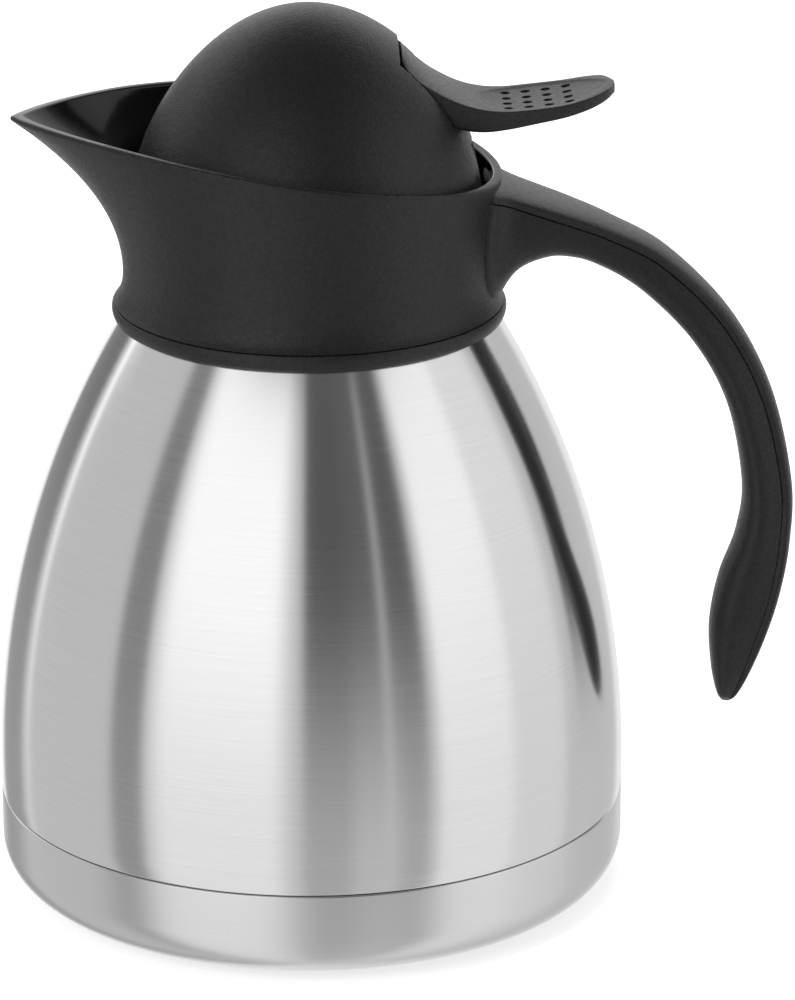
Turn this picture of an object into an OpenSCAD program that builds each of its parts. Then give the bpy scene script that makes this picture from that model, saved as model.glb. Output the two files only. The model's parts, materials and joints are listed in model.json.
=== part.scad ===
// Thermal carafe with a flip lid: a double-walled steel flask with a pressed base cup, a moulded
// pouring collar that screws onto the flask's neck, an open-ended handle, and a sprung domed lid
// that a thumb lever tips back on a pin across the rear of the collar.
// Origin: centre of the foot, on the surface that the carafe stands on. +Z is up, +X points to
// the handle and the spout points to -X. All sizes are millimetres.

/* [Steel flask] */
// Largest diameter of the flask
body_d = 140; // [132:1:150]
// Height of the flask's widest line
belly_z = 28; // [25:1:32]
// Outer diameter of the flask's neck
neck_d = 66; // [62:1:68]
// How far the neck's rim stands above the collar's waist
neck_rise = 8.8; // [8:0.1:9.2]
// Thickness of the steel sheet
steel_t = 0.8; // [0.5:0.1:1]
// Width of the evacuated gap between the two walls
vacuum_gap = 5; // [3:0.5:7]
// Height of the inner flask's underside above the seam
inner_rise = 2; // [0.5:0.5:8]
// Corner radius at the foot of the inner flask
inner_corner = 16; // [8:1:22]

/* [Base] */
// Height of the seam between base cup and flask
seam_z = 22; // [20:0.5:24]
// Width of the seam
seam_gap = 0.2; // [0.1:0.05:0.4]
// Corner radius of the base cup
base_corner = 11; // [7:1:14]
// Height of the rubber foot ring
foot_h = 1.2; // [0.8:0.1:2]
// How far the foot ring stands in from the base cup's side
foot_in = 13; // [12:0.5:24]
// Width of the foot ring
foot_w = 6; // [4:0.5:9]
// How far the pressed floor that closes the vacuum space lies below the seam
floor_drop = 7; // [4:0.5:10]

/* [Collar] */
// Lower edge of the locking ring
ring_low = 131.2; // [122:0.1:140]
// Height of the locking ring
ring_h = 3.5; // [2.8:0.1:4.2]
// Groove between the locking ring and the collar
groove_h = 0.2; // [0.1:0.05:0.4]
// How far the locking ring's bead stands out from the collar's waist
bead_out = 2.6; // [1.6:0.1:3]
// Room between the flask's neck and the collar's waist
collar_room = 7.8; // [7.4:0.1:9]
// How far the flask's side under the ring stands out from the collar's waist
shoulder_out = 0.52; // [0.2:0.01:1]
// Height of the waist, at which the collar begins to flare, above the ring's lower edge
waist_rise = 10.8; // [10:0.1:13]
// How far the rim stands out from the waist, away from the spout
rim_out = 1.5; // [1:0.1:3]
// Height of the rim at its sides above the web
rim_rise = 15.7; // [14:0.1:20]
// How far the rim climbs to the spout and falls to the rear
rim_tilt = 6.6; // [5:0.1:7]
// How far the rim sags towards the spout and the rear
rim_sag = 0.55; // [0:0.05:0.8]
// How far the spout's tip stands out from the rim
spout_out = 23.5; // [16:0.1:28]
// Half angle over which the spout draws in
spout_angle = 28.5; // [22:0.1:32]
// Wall of the collar
collar_wall = 2.2; // [1.8:0.1:2.4]
// Thickness of the gasket between the flask's lip and the web
gasket_h = 1.2; // [0.8:0.1:1.6]
// Thickness of the web
web_t = 2.2; // [2:0.1:2.4]

/* [Mouth] */
// How far the pouring mouth's bore is drawn in from the neck
mouth_in = 6.5; // [6:0.5:9]
// How far the mouth ring's tube is drawn in from the neck
tube_in = 3; // [2.5:0.1:4]
// How far the mouth ring's flange stands out from its tube
flange_out = 1.5; // [1:0.1:1.8]
// Thickness of the mouth ring's flange
mouth_flange_t = 1.4; // [1:0.1:1.6]
// Half angle of the conical seat
seat_angle = 28; // [24:1:32]

/* [Lid] */
// Gap between the dome's lower edge and the rim
dome_gap = 4.3; // [4:0.1:6]
// Height of the dome's lower edge above the web
dome_rise = 3; // [2.6:0.1:3.4]
// How far the dome's top stands above the rim's sides
dome_over = 29.9; // [25:0.1:36]
// Wall of the dome
dome_wall = 2.2; // [1.8:0.1:2.8]
// Width of the slot at the rear of the dome
slot_w = 24; // [23.6:0.2:25]
// Length of the slot, from the dome's lower edge inwards
slot_l = 18.4; // [18:0.1:19]
// How far the stopper's underside hangs below the web's top
stopper_drop = 9.5; // [8:0.5:12]
// Wall of the stopper
stopper_wall = 1.6; // [1.2:0.1:2]

/* [Thumb lever] */
// How far the lever's tip stands out from the dome's lower edge
lever_out = 28.5; // [24:0.5:31]
// Height of the lever's lowest edge above the rim's sides
lever_rise = 8.6; // [8:0.1:10]
// How far the lever climbs from its lowest edge to its root
lever_climb = 10; // [8:0.5:11]
// Thickness of the lever's pad
lever_t = 3.3; // [2.6:0.1:4]
// Width of the lever's pad
lever_w = 22.6; // [20:0.2:23]
// Depth of the lever's dished top
dish = 0.6; // [0.2:0.1:1.6]
// Diameter of the grip pits
pit_d = 2.1; // [1.2:0.1:2.4]
// Spacing of the grip pits across the lever
pit_row = 4; // [3:0.1:4.4]
// Spacing of the grip pits along the lever
pit_step = 4.3; // [3.5:0.1:5]

/* [Hinge] */
// How far the hinge pin lies in from the dome's lower edge
pin_in = 5.5; // [5:0.1:6]
// Height of the hinge pin above the web
pin_rise = 8.5; // [8:0.1:9]
// Diameter of the hinge pin
pin_d = 3; // [2:0.1:3.4]
// Radius of the lid's knuckles
knuckle_r = 5.4; // [5:0.1:5.6]
// Radius of the collar's hinge lug at the pin
lug_r = 5; // [4.4:0.1:5.4]
// Width across the collar's hinge lug
lug_w = 11; // [10:0.2:12]
// Width of the spring pocket in the lug
pocket_w = 6.4; // [6:0.1:7]
// Diameter of the spring's wire
wire_d = 0.8; // [0.6:0.05:0.9]
// Turns of the spring
spring_turns = 3.5; // [2.5:1:3.5]

/* [Handle] */
// How far the handle stands out from the collar's waist
handle_out = 66.8; // [60:0.2:74]
// Height of the handle from its free end to its root
handle_h = 125.5; // [110:0.5:132]
// Height of the handle's root at the collar
root_h = 32; // [30:0.2:33]
// Width of the handle where the hand holds it
handle_w = 17.6; // [16:0.2:22]
// Width of the handle where it meets the collar
root_w = 27; // [25:0.5:29]
// Width of the handle's cover where the hand holds it
cover_w = 12.8; // [10:0.2:15]
// Height of the handle cover's crown
crown = 2; // [1.2:0.1:2.6]
// Thickness of the handle cover at its edge
cover_t = 1.2; // [0.8:0.1:1.8]

/* [Fits] */
// Clearance between pieces that are welded, screwed or pushed together
fit = 0.05; // [0.02:0.01:0.1]
// Clearance of the hinge pin in its turning bores
run = 0.04; // [0.02:0.01:0.08]
// Gap beside pieces that only lie next to each other
ease = 0.25; // [0.15:0.05:0.3]

/* [Hidden] */

$fn = 128;
over = 1;
body_r = body_d / 2;
neck_r = neck_d / 2;
waist_r = neck_r + collar_room;
shoulder_r = waist_r + shoulder_out;
rim_r = waist_r + rim_out;
bead_r = waist_r + bead_out;
spout_reach = rim_r + spout_out;
dome_r = rim_r - dome_gap;
mouth_r = neck_r - mouth_in;
tube_r = neck_r - tube_in;
flange_r = tube_r + flange_out;
pin_r = pin_d / 2;
wire_r = wire_d / 2;

// Levels in the base
inner_low = seam_z + inner_rise;
floor_low = seam_z - floor_drop;

// Levels in the neck, from the locking ring up to the rim
ring_top = ring_low + ring_h;
collar_low = ring_top + groove_h;
waist_z = ring_low + waist_rise;
neck_top = waist_z + neck_rise;
lip_top = neck_top + steel_t;
web_low = lip_top + gasket_h;
web_top = web_low + web_t;
flange_top = web_top + mouth_flange_t;
rim_mid = web_top + rim_rise;

// The flask's side is the arc that stands upright at the belly and passes under the ring's lower edge
side_r = (pow(ring_low - belly_z, 2) + pow(body_r - shoulder_r, 2)) / (2 * (body_r - shoulder_r));

// Places of the dome, the hinge and the lever
dome_low = web_top + dome_rise;
dome_top = rim_mid + dome_over;
stopper_low = web_top - stopper_drop;
slot_x = dome_r - slot_l;
pin_x = dome_r - pin_in;
pin_z = web_top + pin_rise;
lever_reach = dome_r + lever_out;
lever_z = rim_mid + lever_rise;

// Levels in the lid, from the stopper's flange up to the top of the base plate
stopper_flange_t = 1.6;
stopper_flange_low = dome_low - 1;
base_plate_low = stopper_flange_low + stopper_flange_t;
base_plate_t = 2.4;
base_plate_top = base_plate_low + base_plate_t;
stopper_flange_r = flange_r + 0.5;

// Straight-line mix of two values
function mix(a, b, t) = a + (b - a) * t;

// Points of a cubic Bezier curve in n steps
function bezier(a, b, c, d, n) = [for (i = [0:n]) let (t = i / n, s = 1 - t)
    a * s * s * s + 3 * b * s * s * t + 3 * c * s * t * t + d * t * t * t];

// A value of the smooth curve through the rows of a list, at row number u
function spline(rows, u) = let (
    n = len(rows) - 1,
    i = min(floor(u), n - 1),
    t = u - i,
    p0 = rows[max(i - 1, 0)],
    p1 = rows[i],
    p2 = rows[i + 1],
    p3 = rows[min(i + 2, n)])
    0.5 * (2 * p1 + (p2 - p0) * t + (2 * p0 - 5 * p1 + 4 * p2 - p3) * t * t
        + (3 * p1 - p0 - 3 * p2 + p3) * t * t * t);

// Power of a number that keeps its sign
function spow(v, e) = sign(v) * pow(abs(v), e);

// Closed skin over a list of sections that all have the same number of points
module skin(sections) {
    n = len(sections[0]);
    m = len(sections);
    pts = [for (s = sections) for (p = s) p];
    sides = [for (j = [0:m - 2]) for (i = [0:n - 1]) let (
        a = j * n + i,
        b = j * n + (i + 1) % n) each [[a, b, b + n], [a, b + n, a + n]]];
    polyhedron(points = pts, faces = concat([[for (i = [n - 1:-1:0]) i]], sides,
        [[for (i = [0:n - 1]) (m - 1) * n + i]]), convexity = 6);
}

// Half of the flask's section, drawn in by d from its outer face, from height low upwards
module flask_half(d, low, top, neck) {
    shoulder_z = belly_z + sqrt(pow(side_r - d, 2) - pow(neck + side_r - body_r, 2));
    translate([0, low])
        square([body_r - d, belly_z - low]);
    intersection() {
        translate([body_r - side_r, belly_z])
            circle(r = side_r - d, $fn = 360);
        translate([0, belly_z])
            square([body_r, shoulder_z - belly_z]);
    }
    translate([0, shoulder_z - over])
        square([neck, top - shoulder_z + over]);
}

// Radius at height z of a face drawn in by d from the flask's outer side
function flask_r(z, d = 0) = body_r - side_r + sqrt(pow(side_r - d, 2) - pow(z - belly_z, 2));

module outer_shell() {
    color("silver")
        rotate_extrude()
            difference() {
                flask_half(0, seam_z, neck_top, neck_r);
                flask_half(steel_t, seam_z - over, neck_top + over, neck_r - steel_t);
            }
}

// Section of the inner flask, drawn in by d from its outer face
module inner_half(d) {
    depth = steel_t + vacuum_gap + d;
    low = inner_low + d;
    corner = inner_corner - d;
    corner_x = flask_r(low + corner, depth) - corner;
    difference() {
        flask_half(depth, low, lip_top + 2 * d, neck_r - steel_t - fit - d);
        translate([corner_x, low - over])
            square([corner + 2 * over, corner + over]);
    }
    translate([corner_x, low + corner])
        circle(r = corner);
}

module inner_flask() {
    color("gainsboro")
        rotate_extrude()
            difference() {
                union() {
                    inner_half(0);
                    translate([0, neck_top])
                        square([neck_r, steel_t]);
                }
                inner_half(steel_t);
            }
}

floor_r = body_r - steel_t - fit;
floor_wall_top = seam_z + 5;
dimple_r = 9;
dimple_h = 3;
seal_hole_r = 1.5;

module vacuum_floor() {
    color("gainsboro")
        rotate_extrude()
            difference() {
                translate([0, floor_low])
                    square([floor_r, floor_wall_top - floor_low]);
                translate([0, floor_low + steel_t])
                    square([floor_r - steel_t, floor_wall_top]);
                square([seal_hole_r, floor_low + 2 * over]);
            }
}

module getter() {
    color("dimgray")
        translate([0, 0, floor_low + steel_t])
            rotate_extrude()
                translate([seal_hole_r + 2, 0])
                    square([dimple_r, dimple_h]);
}

module seal_plug() {
    color("slategray")
        rotate_extrude() {
            translate([0, floor_low])
                square([seal_hole_r - fit, steel_t]);
            intersection() {
                translate([0, floor_low])
                    circle(r = 2.6 * seal_hole_r);
                translate([0, floor_low - 2 * seal_hole_r])
                    square([3 * seal_hole_r, 2 * seal_hole_r]);
            }
        }
}

// Section of the base cup, drawn in by d from its outer face
module base_half(d) {
    low = foot_h + d;
    corner = base_corner - d;
    translate([0, low])
        square([body_r - d - corner, seam_z - seam_gap - low + d]);
    translate([0, low + corner])
        square([body_r - d, seam_z - seam_gap - low - corner + d]);
    translate([body_r - d - corner, low + corner])
        circle(r = corner);
}

module base_cup() {
    color("lightgray")
        rotate_extrude()
            difference() {
                intersection() {
                    base_half(0);
                    square([body_r, seam_z - seam_gap]);
                }
                intersection() {
                    base_half(steel_t);
                    square([body_r, seam_z + over]);
                }
            }
}

module foot_ring() {
    color("black")
        rotate_extrude()
            translate([body_r - foot_in - foot_w, 0])
                square([foot_w, foot_h]);
}

// Outer edge of the collar's foot, from the groove above the locking ring up to the waist, as distance
// from the axis and height
foot_curve = bezier([waist_r + 0.8 * bead_out, collar_low],
    [waist_r + 0.42 * bead_out, mix(collar_low, waist_z, 0.155)],
    [waist_r, mix(collar_low, waist_z, 0.41)], [waist_r, waist_z], 8);

// The flask's side with a fit's room, for what is seated on it
module flask_side() {
    translate([body_r - side_r, belly_z])
        circle(r = side_r + fit, $fn = 360);
}

module collar_ring() {
    bead = bezier([bead_r - 0.35 * bead_out, ring_low], [bead_r, ring_low + 0.3 * ring_h],
        [bead_r + 0.08 * bead_out, ring_low + 0.77 * ring_h], [bead_r - 0.15 * bead_out, ring_top], 16);
    color("#232323")
        rotate_extrude()
            difference() {
                polygon(concat([[0, ring_low]], bead, [[0, ring_top]]));
                flask_side();
            }
}

// Radius of the rim in the direction phi, measured from the spout
function rim_at(phi) = rim_r + (spout_reach - rim_r) * exp(-pow(abs(phi) / spout_angle, 1.15));

// Height of the rim in the direction phi
function rim_z(phi) = rim_mid + rim_tilt * cos(phi) - rim_sag * cos(2 * phi);

// A point of the collar's wall: s runs from the waist, 0, to the rim, 1; inset is measured square
// to the wall's slope
function collar_point(phi, s, inset) = let (
    rise = rim_z(phi) - waist_z,
    grow = rim_at(phi) - waist_r,
    slope = 2 * grow * s / rise,
    r = waist_r + grow * s * s - inset * sqrt(1 + slope * slope))
    [-r * cos(phi), -r * sin(phi), waist_z + rise * s];

collar_sides = 72;
collar_rings = 11;
inner_rings = 6;

// Directions round the collar, closer together at the spout
collar_phi = [for (i = [0:collar_sides - 1]) let (u = 1 - 2 * i / collar_sides) 180 * spow(u, 1.35)];

// Share of the wall's height at which its inner face meets the web
function web_s(phi) = (web_top - waist_z) / (rim_z(phi) - waist_z);

module collar_cup() {
    foot = [for (p = foot_curve) [for (phi = collar_phi) [-p[0] * cos(phi), -p[0] * sin(phi), p[1]]]];
    outside = [for (j = [1:collar_rings]) [for (phi = collar_phi) collar_point(phi, j / collar_rings, 0)]];
    inside = [for (j = [0:inner_rings]) [for (phi = collar_phi)
        collar_point(phi, mix(1, web_s(phi), j / inner_rings), collar_wall)]];
    skin(concat(foot, outside, inside));
}

lug_back_x = waist_r - 0.5;
tower_x = pin_x + 4.5;
heel_z = rim_z(180) - 0.4;
tower_z = heel_z + 3.85;

// Side view of the hinge lug, from the web up to its rounded top at the rear rim
module lug_side() {
    foot_x = stopper_flange_r + ease + 0.6;
    difference() {
        union() {
            translate([pin_x, pin_z])
                circle(r = lug_r);
            polygon([[foot_x, web_top - over], [lug_back_x, web_top - over], [rim_r - 0.8, heel_z],
                [tower_x, tower_z], [pin_x, pin_z + lug_r],
                [pin_x - lug_r * cos(20), pin_z - lug_r * sin(20)]]);
        }
        translate([pin_x, pin_z])
            circle(r = pin_r + 0.01);
    }
}

module upright(width) {
    rotate([90, 0, 0])
        linear_extrude(width, center = true)
            children();
}

handle_screw_y = 0.45 * root_w / 2;
handle_screw_z = mix(waist_z, web_low, 0.574);
screw_r = 1.5;
screw_head_r = 2.8;
screw_head_t = 2;
spot_x = waist_r - collar_wall - 0.4;
handle_screw_end = waist_r + 11.4;

// Places the handle's two screws side by side, pointing to +X
module at_handle_screws() {
    for (side = [-1, 1])
        translate([0, side * handle_screw_y, handle_screw_z])
            rotate([0, 90, 0])
                children();
}

sleeve_t = 2.2;

module collar() {
    color("#262626")
        difference() {
            union() {
                difference() {
                    collar_cup();
                    translate([0, 0, collar_low - over])
                        cylinder(r = waist_r - collar_wall, h = web_low - collar_low + over);
                    rotate_extrude()
                        intersection() {
                            flask_side();
                            translate([0, collar_low - over])
                                square([bead_r, waist_z - collar_low]);
                        }
                    translate([0, 0, web_low - over])
                        cylinder(r = tube_r + fit, h = web_t + 2 * over);
                }
                difference() {
                    translate([0, 0, neck_top - 6.5])
                        cylinder(r = neck_r + fit + sleeve_t, h = web_low - neck_top + 6.5 + fit);
                    translate([0, 0, neck_top - 6.5 - over])
                        cylinder(r = neck_r + fit, h = web_low - neck_top + 6.5 + 2 * over);
                }
                difference() {
                    upright(lug_w)
                        lug_side();
                    translate([pin_x - lug_r - over, -pocket_w / 2, web_top])
                        cube([tower_x - pin_x + lug_r, pocket_w, rim_mid]);
                }
            }
            at_handle_screws()
                cylinder(r = screw_r + fit, h = rim_r + over);
            at_handle_screws()
                cylinder(r = screw_head_r + fit, h = spot_x);
        }
}

gasket_inner_r = neck_r - 2.4;

module neck_gasket() {
    color("dimgray")
        rotate_extrude()
            translate([gasket_inner_r, lip_top])
                square([neck_r + fit - gasket_inner_r, web_low - lip_top]);
}

seat_h = 4.5;
seat_top_r = mouth_r + seat_h * tan(seat_angle);

module mouth_ring() {
    color("#1c1c1c")
        rotate_extrude()
            difference() {
                union() {
                    translate([0, neck_top - 4])
                        square([tube_r, flange_top - neck_top + 4]);
                    translate([0, web_top])
                        square([flange_r, mouth_flange_t]);
                }
                translate([0, neck_top - 5])
                    square([mouth_r, flange_top - neck_top + 6]);
                polygon([[0, flange_top - seat_h], [mouth_r, flange_top - seat_h],
                    [seat_top_r, flange_top], [seat_top_r, flange_top + over], [0, flange_top + over]]);
            }
}

// Rows of the grip from the collar to its free end: how far the outer edge lies in from the handle's
// reach and below its root, as shares of its reach and height, the same of the inner edge, half width
// of the cover, half width of the grip, crown
root_y = root_w / 2;
cover_y = cover_w / 2;
hold_y = handle_w / 2;
handle_reach = waist_r + handle_out;
root_z = rim_z(180) + 0.45;
grip_shares = [
    [1.0644, 0, 1.0344, root_h / handle_h, root_y - 0.5, root_y + 0.5, crown],
    [0.997, 0.0151, 0.9805, 0.8375 * root_h / handle_h, root_y - 1.3, root_y - 0.3, crown],
    [0.9222, 0.0311, 0.9371, 0.725 * root_h / handle_h, root_y - 2, root_y - 1, crown],
    [0.8278, 0.0494, 0.8623, 0.66 * root_h / handle_h, root_y - 2.8, root_y - 1.8, crown],
    [0.744, 0.0661, 0.7859, 0.1625, cover_y + 3.5, hold_y + 2, crown],
    [0.6123, 0.0964, 0.6781, 0.1737, cover_y + 2.2, hold_y + 1.1, crown],
    [0.4251, 0.153, 0.524, 0.2183, cover_y + 1, hold_y + 0.4, crown],
    [0.2171, 0.2669, 0.3458, 0.3163, cover_y + 0.2, hold_y, crown],
    [0.0778, 0.408, 0.2246, 0.4367, cover_y - 0.2, hold_y - 0.2, crown],
    [0.0045, 0.5753, 0.1677, 0.5849, cover_y - 0.4, hold_y - 0.4, 0.95 * crown],
    [0.0045, 0.6916, 0.1841, 0.6789, cover_y - 0.5, hold_y - 0.6, 0.9 * crown],
    [0.0329, 0.7888, 0.2395, 0.7633, cover_y - 0.6, hold_y - 0.8, 0.85 * crown],
    [0.0763, 0.8693, 0.268, 0.8502, cover_y - 0.9, hold_y - 1.2, 0.8 * crown],
    [0.1287, 0.941, 0.2605, 0.9299, cover_y - 1.6, hold_y - 2.4, 0.7 * crown],
    [0.1707, 0.9857, 0.2425, 0.9793, cover_y - 3.2, hold_y - 4.8, 0.5 * crown],
    [0.1991, 1, 0.226, 0.9968, cover_y - 5.2, hold_y - 7.3, 0.2 * crown]];
grip = [for (g = grip_shares) [handle_reach - g[0] * handle_out, root_z - g[1] * handle_h,
    handle_reach - g[2] * handle_out, root_z - g[3] * handle_h, g[4], g[5], g[6]]];
grip_steps = 3;

// Section of the handle at row number u. Each point of the shape gives shares of the cover's half
// width and of the grip's swell beside it, then a depth below the outer edge as shares of the
// crown, the cover's thickness and the whole depth.
function grip_section(u, shape) = let (
    g = spline(grip, u),
    depth = norm([g[0] - g[2], g[1] - g[3]]),
    nx = (g[0] - g[2]) / depth,
    nz = (g[1] - g[3]) / depth,
    slim = min(1, depth / 12))
    [for (p = shape) let (v = p[2] * g[6] + p[3] * cover_t * slim + p[4] * depth)
        [g[0] - nx * v, p[0] * g[4] + p[1] * (g[5] - g[4]), g[1] - nz * v]];

body_points = 18;
cover_points = 12;
cover_low = 1 - ease / 2 / cover_t;

handle_shape = [for (i = [0:body_points]) let (a = -180 * i / body_points, s = spow(-sin(a), 0.8))
    [spow(cos(a), 0.7), sin(-2 * a), 1 - s, 1 - s, s]];
cover_shape = concat([for (i = [0:cover_points]) let (a = 180 - 180 * i / cover_points)
    [cos(a), 0, 1 - pow(sin(a), 0.9), 0, 0]],
    [[1, 0, 1, cover_low, 0], [-1, 0, 1, cover_low, 0]]);

// The collar and its ring as seen from the handle's root, with room to seat the handle
module root_seat() {
    steps = 8;
    rise = rim_z(180) - waist_z;
    rotate_extrude()
        polygon(concat([[0, ring_low], [bead_r + ease, ring_low], [bead_r + ease, ring_top]],
            [for (p = foot_curve) [p[0] + seat_gap, p[1]]],
            [for (i = [0:steps]) let (s = i / steps)
                [waist_r + (rim_r - waist_r) * s * s + seat_gap, waist_z + rise * s]],
            [[rim_r + seat_gap, rim_mid], [0, rim_mid]]));
}

seat_gap = 0.1;

grip_rows = (len(grip) - 1) * grip_steps;

module handle() {
    color("#262626")
        difference() {
            skin([for (j = [0:grip_rows]) grip_section(j / grip_steps, handle_shape)]);
            root_seat();
            at_handle_screws()
                cylinder(r = screw_r + fit, h = handle_screw_end + over);
        }
}

module handle_cover() {
    color("#2c2c2c")
        difference() {
            skin([for (j = [0:grip_rows]) grip_section(j / grip_steps, cover_shape)]);
            root_seat();
        }
}

module handle_screws() {
    color("lightsteelblue")
        at_handle_screws() {
            translate([0, 0, spot_x - screw_head_t])
                cylinder(r = screw_head_r, h = screw_head_t);
            translate([0, 0, spot_x - fit])
                cylinder(r = screw_r, h = handle_screw_end - spot_x + fit);
        }
}

// Section of the dome, drawn in by d from its outer face
function dome_curve(d) = bezier([dome_r - d, dome_low], [dome_r + 2.1 - d, mix(dome_low, dome_top, 0.298)],
    [0.6 * dome_r - d / 2, dome_top - d], [0, dome_top - d], 30);

module dome_half(d) {
    polygon(concat([[0, dome_low]], dome_curve(d)));
}

boss_r = 3.4;
boss_ring = dome_r - 10.5;
boss_angles = [110, 180, 250];

module at_bosses() {
    for (a = boss_angles)
        rotate(a)
            translate([boss_ring, 0, 0])
                children();
}

dome_screw_l = 11;

module dome() {
    color("#242424")
        difference() {
            union() {
                rotate_extrude()
                    difference() {
                        dome_half(0);
                        dome_half(dome_wall);
                        square([dome_r - dome_wall, dome_low + over]);
                    }
                intersection() {
                    at_bosses()
                        translate([0, 0, base_plate_top])
                            cylinder(r = boss_r, h = dome_top - base_plate_top);
                    rotate_extrude()
                        dome_half(dome_wall / 2);
                }
            }
            translate([slot_x, -slot_w / 2, dome_low - over])
                cube([dome_r, slot_w, dome_top]);
            at_bosses()
                translate([0, 0, base_plate_top - over])
                    cylinder(r = screw_r + fit, h = dome_screw_l + over);
        }
}

lever_screw_x = slot_x - 5.6;
lever_screw_y = 6;

module at_lever_screws() {
    for (side = [-1, 1])
        translate([lever_screw_x, side * lever_screw_y, 0])
            children();
}

module lid_base() {
    color("#2a2a2a")
        difference() {
            translate([0, 0, base_plate_low])
                cylinder(r = dome_r - dome_wall - ease, h = base_plate_t);
            translate([slot_x + 3.6, -slot_w / 2, 0])
                cube([dome_r, slot_w, dome_top]);
            at_bosses()
                cylinder(r = screw_r + fit, h = dome_top);
            at_lever_screws()
                cylinder(r = screw_r + fit, h = dome_top);
        }
}

// Rows of the lever's blade: how far it lies in from the tip, as a share of the lever's length, height
// of its edge as a share of the climb, thickness as a share of the pad's, half width, depth of the
// dish (negative where the top is crowned)
half_w = lever_w / 2;
stem_front = slot_x + 0.6;
blade_shares = [
    [1, 1, 2.12, slot_w / 2 - 0.7, -2.2],
    [0.922, 0.67, 2.05, slot_w / 2 - 0.8, -1.6],
    [0.833, 0.4, 1.98, half_w - 0.4, -0.8],
    [0.725, 0.16, 1.8, half_w - 0.6, -0.2],
    [0.617, 0.03, 1.55, half_w - 0.4, 0.6 * dish],
    [0.509, 0, 1.28, half_w - 0.1, dish],
    [0.379, 0.05, 1.06, half_w, dish],
    [0.238, 0.13, 0.91, half_w - 0.4, dish],
    [0.121, 0.25, 0.82, 0.83 * half_w, 0.6 * dish],
    [0.043, 0.34, 0.7, 0.58 * half_w, 0.2 * dish],
    [0, 0.34, 0.45, 0.2 * half_w, -0.3]];
blade = [for (b = blade_shares) [lever_reach - b[0] * (lever_reach - stem_front),
    lever_z + b[1] * lever_climb, b[2] * lever_t, b[3], b[4]]];
blade_steps = 2;
blade_top_points = 10;
blade_low_points = 8;

function blade_section(u) = let (b = spline(blade, u))
    concat([for (i = [0:blade_top_points]) let (y = -1 + 2 * i / blade_top_points)
        [b[0], y * b[3], b[1] - b[4] * (1 - pow(abs(y), 2.4))]],
        [for (i = [0:blade_low_points]) let (y = 1 - 2 * i / blade_low_points)
            [b[0], 0.96 * y * b[3], b[1] - b[2] - 0.7 * (1 - y * y)]]);

// Height of the dished top on the lever's centre line at distance x from the axis
function dish_z(x) = lookup(x, [for (b = blade) [b[0], b[1] - b[4]]]);

stem_t = 2.6;
pit_x = lever_reach - 0.365 * (lever_reach - stem_front);
cheek_gap = 0.5;

// Side view of the cheeks that carry the lever on the pin
module cheek_side() {
    difference() {
        union() {
            translate([pin_x, pin_z])
                circle(r = knuckle_r);
            polygon([[stem_front, lever_z + 4.7], [stem_front, base_plate_top],
                [pin_x - knuckle_r + 1, pin_z - 2], [pin_x, pin_z], [pin_x + 3.4, pin_z + 5],
                [pin_x + 1.4, lever_z - 2.9], [pin_x - 4, lever_z - 0.7]]);
        }
        translate([pin_x, pin_z])
            circle(r = pin_r + run);
        translate([pin_x - knuckle_r - 4, dome_low - 2 * over])
            square([4, base_plate_low - dome_low + 2 * over]);
    }
}

module thumb_lever() {
    stem_w = slot_w - 3;
    color("#303030")
        difference() {
            union() {
                skin([for (j = [0:(len(blade) - 1) * blade_steps]) blade_section(j / blade_steps)]);
                difference() {
                    upright(stem_w)
                        cheek_side();
                    translate([stem_front + stem_t, -lug_w / 2 - cheek_gap, 0])
                        cube([dome_r, lug_w + 2 * cheek_gap, lever_z - 2.3]);
                }
                translate([lever_screw_x - 5, -stem_w / 2, base_plate_top])
                    cube([stem_front - lever_screw_x + 5 + over, stem_w, 2.4]);
                translate([stem_front + over, -pocket_w / 2 + 0.4, pin_z - 1])
                    cube([stem_t + 2.6, pocket_w - 0.8, 2.7]);
            }
            translate([pit_x, 0, 0])
                for (i = [-1.5:1.5], k = [-1.5:1.5])
                    let (x = i * pit_step, y = k * pit_row)
                        translate([x, y, dish_z(pit_x + x) + dish * pow(abs(y) / half_w, 2.4) - 0.7])
                            cylinder(r = pit_d / 2, h = 3, $fn = 24);
            at_lever_screws()
                cylinder(r = screw_r + fit, h = base_plate_top + 3);
        }
}

screw_cap_t = 1.4;

// A screw that points upwards, with its head's underside at height 0
module small_screw(length) {
    translate([0, 0, -screw_cap_t])
        cylinder(r = screw_head_r, h = screw_cap_t);
    cylinder(r = screw_r, h = length);
}

module lever_screws() {
    color("lightsteelblue")
        at_lever_screws()
            translate([0, 0, base_plate_low])
                small_screw(base_plate_t + 2.2);
}

module dome_screws() {
    color("lightsteelblue")
        at_bosses()
            translate([0, 0, base_plate_low])
                small_screw(base_plate_t + dome_screw_l - 1);
}

plug_low_r = mouth_r - 8;
plug_top_r = mouth_r - 0.8;
gasket_t = 3;
groove_low = flange_top - seat_h + 0.8;
plug_neck_r = plug_top_r - 1.4;

// Section of the stopper's outside, drawn in by d
module plug_half(d) {
    polygon([[0, stopper_low + d], [plug_low_r - d, stopper_low + d], [plug_top_r - d, groove_low - 1.2],
        [plug_top_r - d, stopper_flange_low + over], [0, stopper_flange_low + over]]);
}

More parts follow.
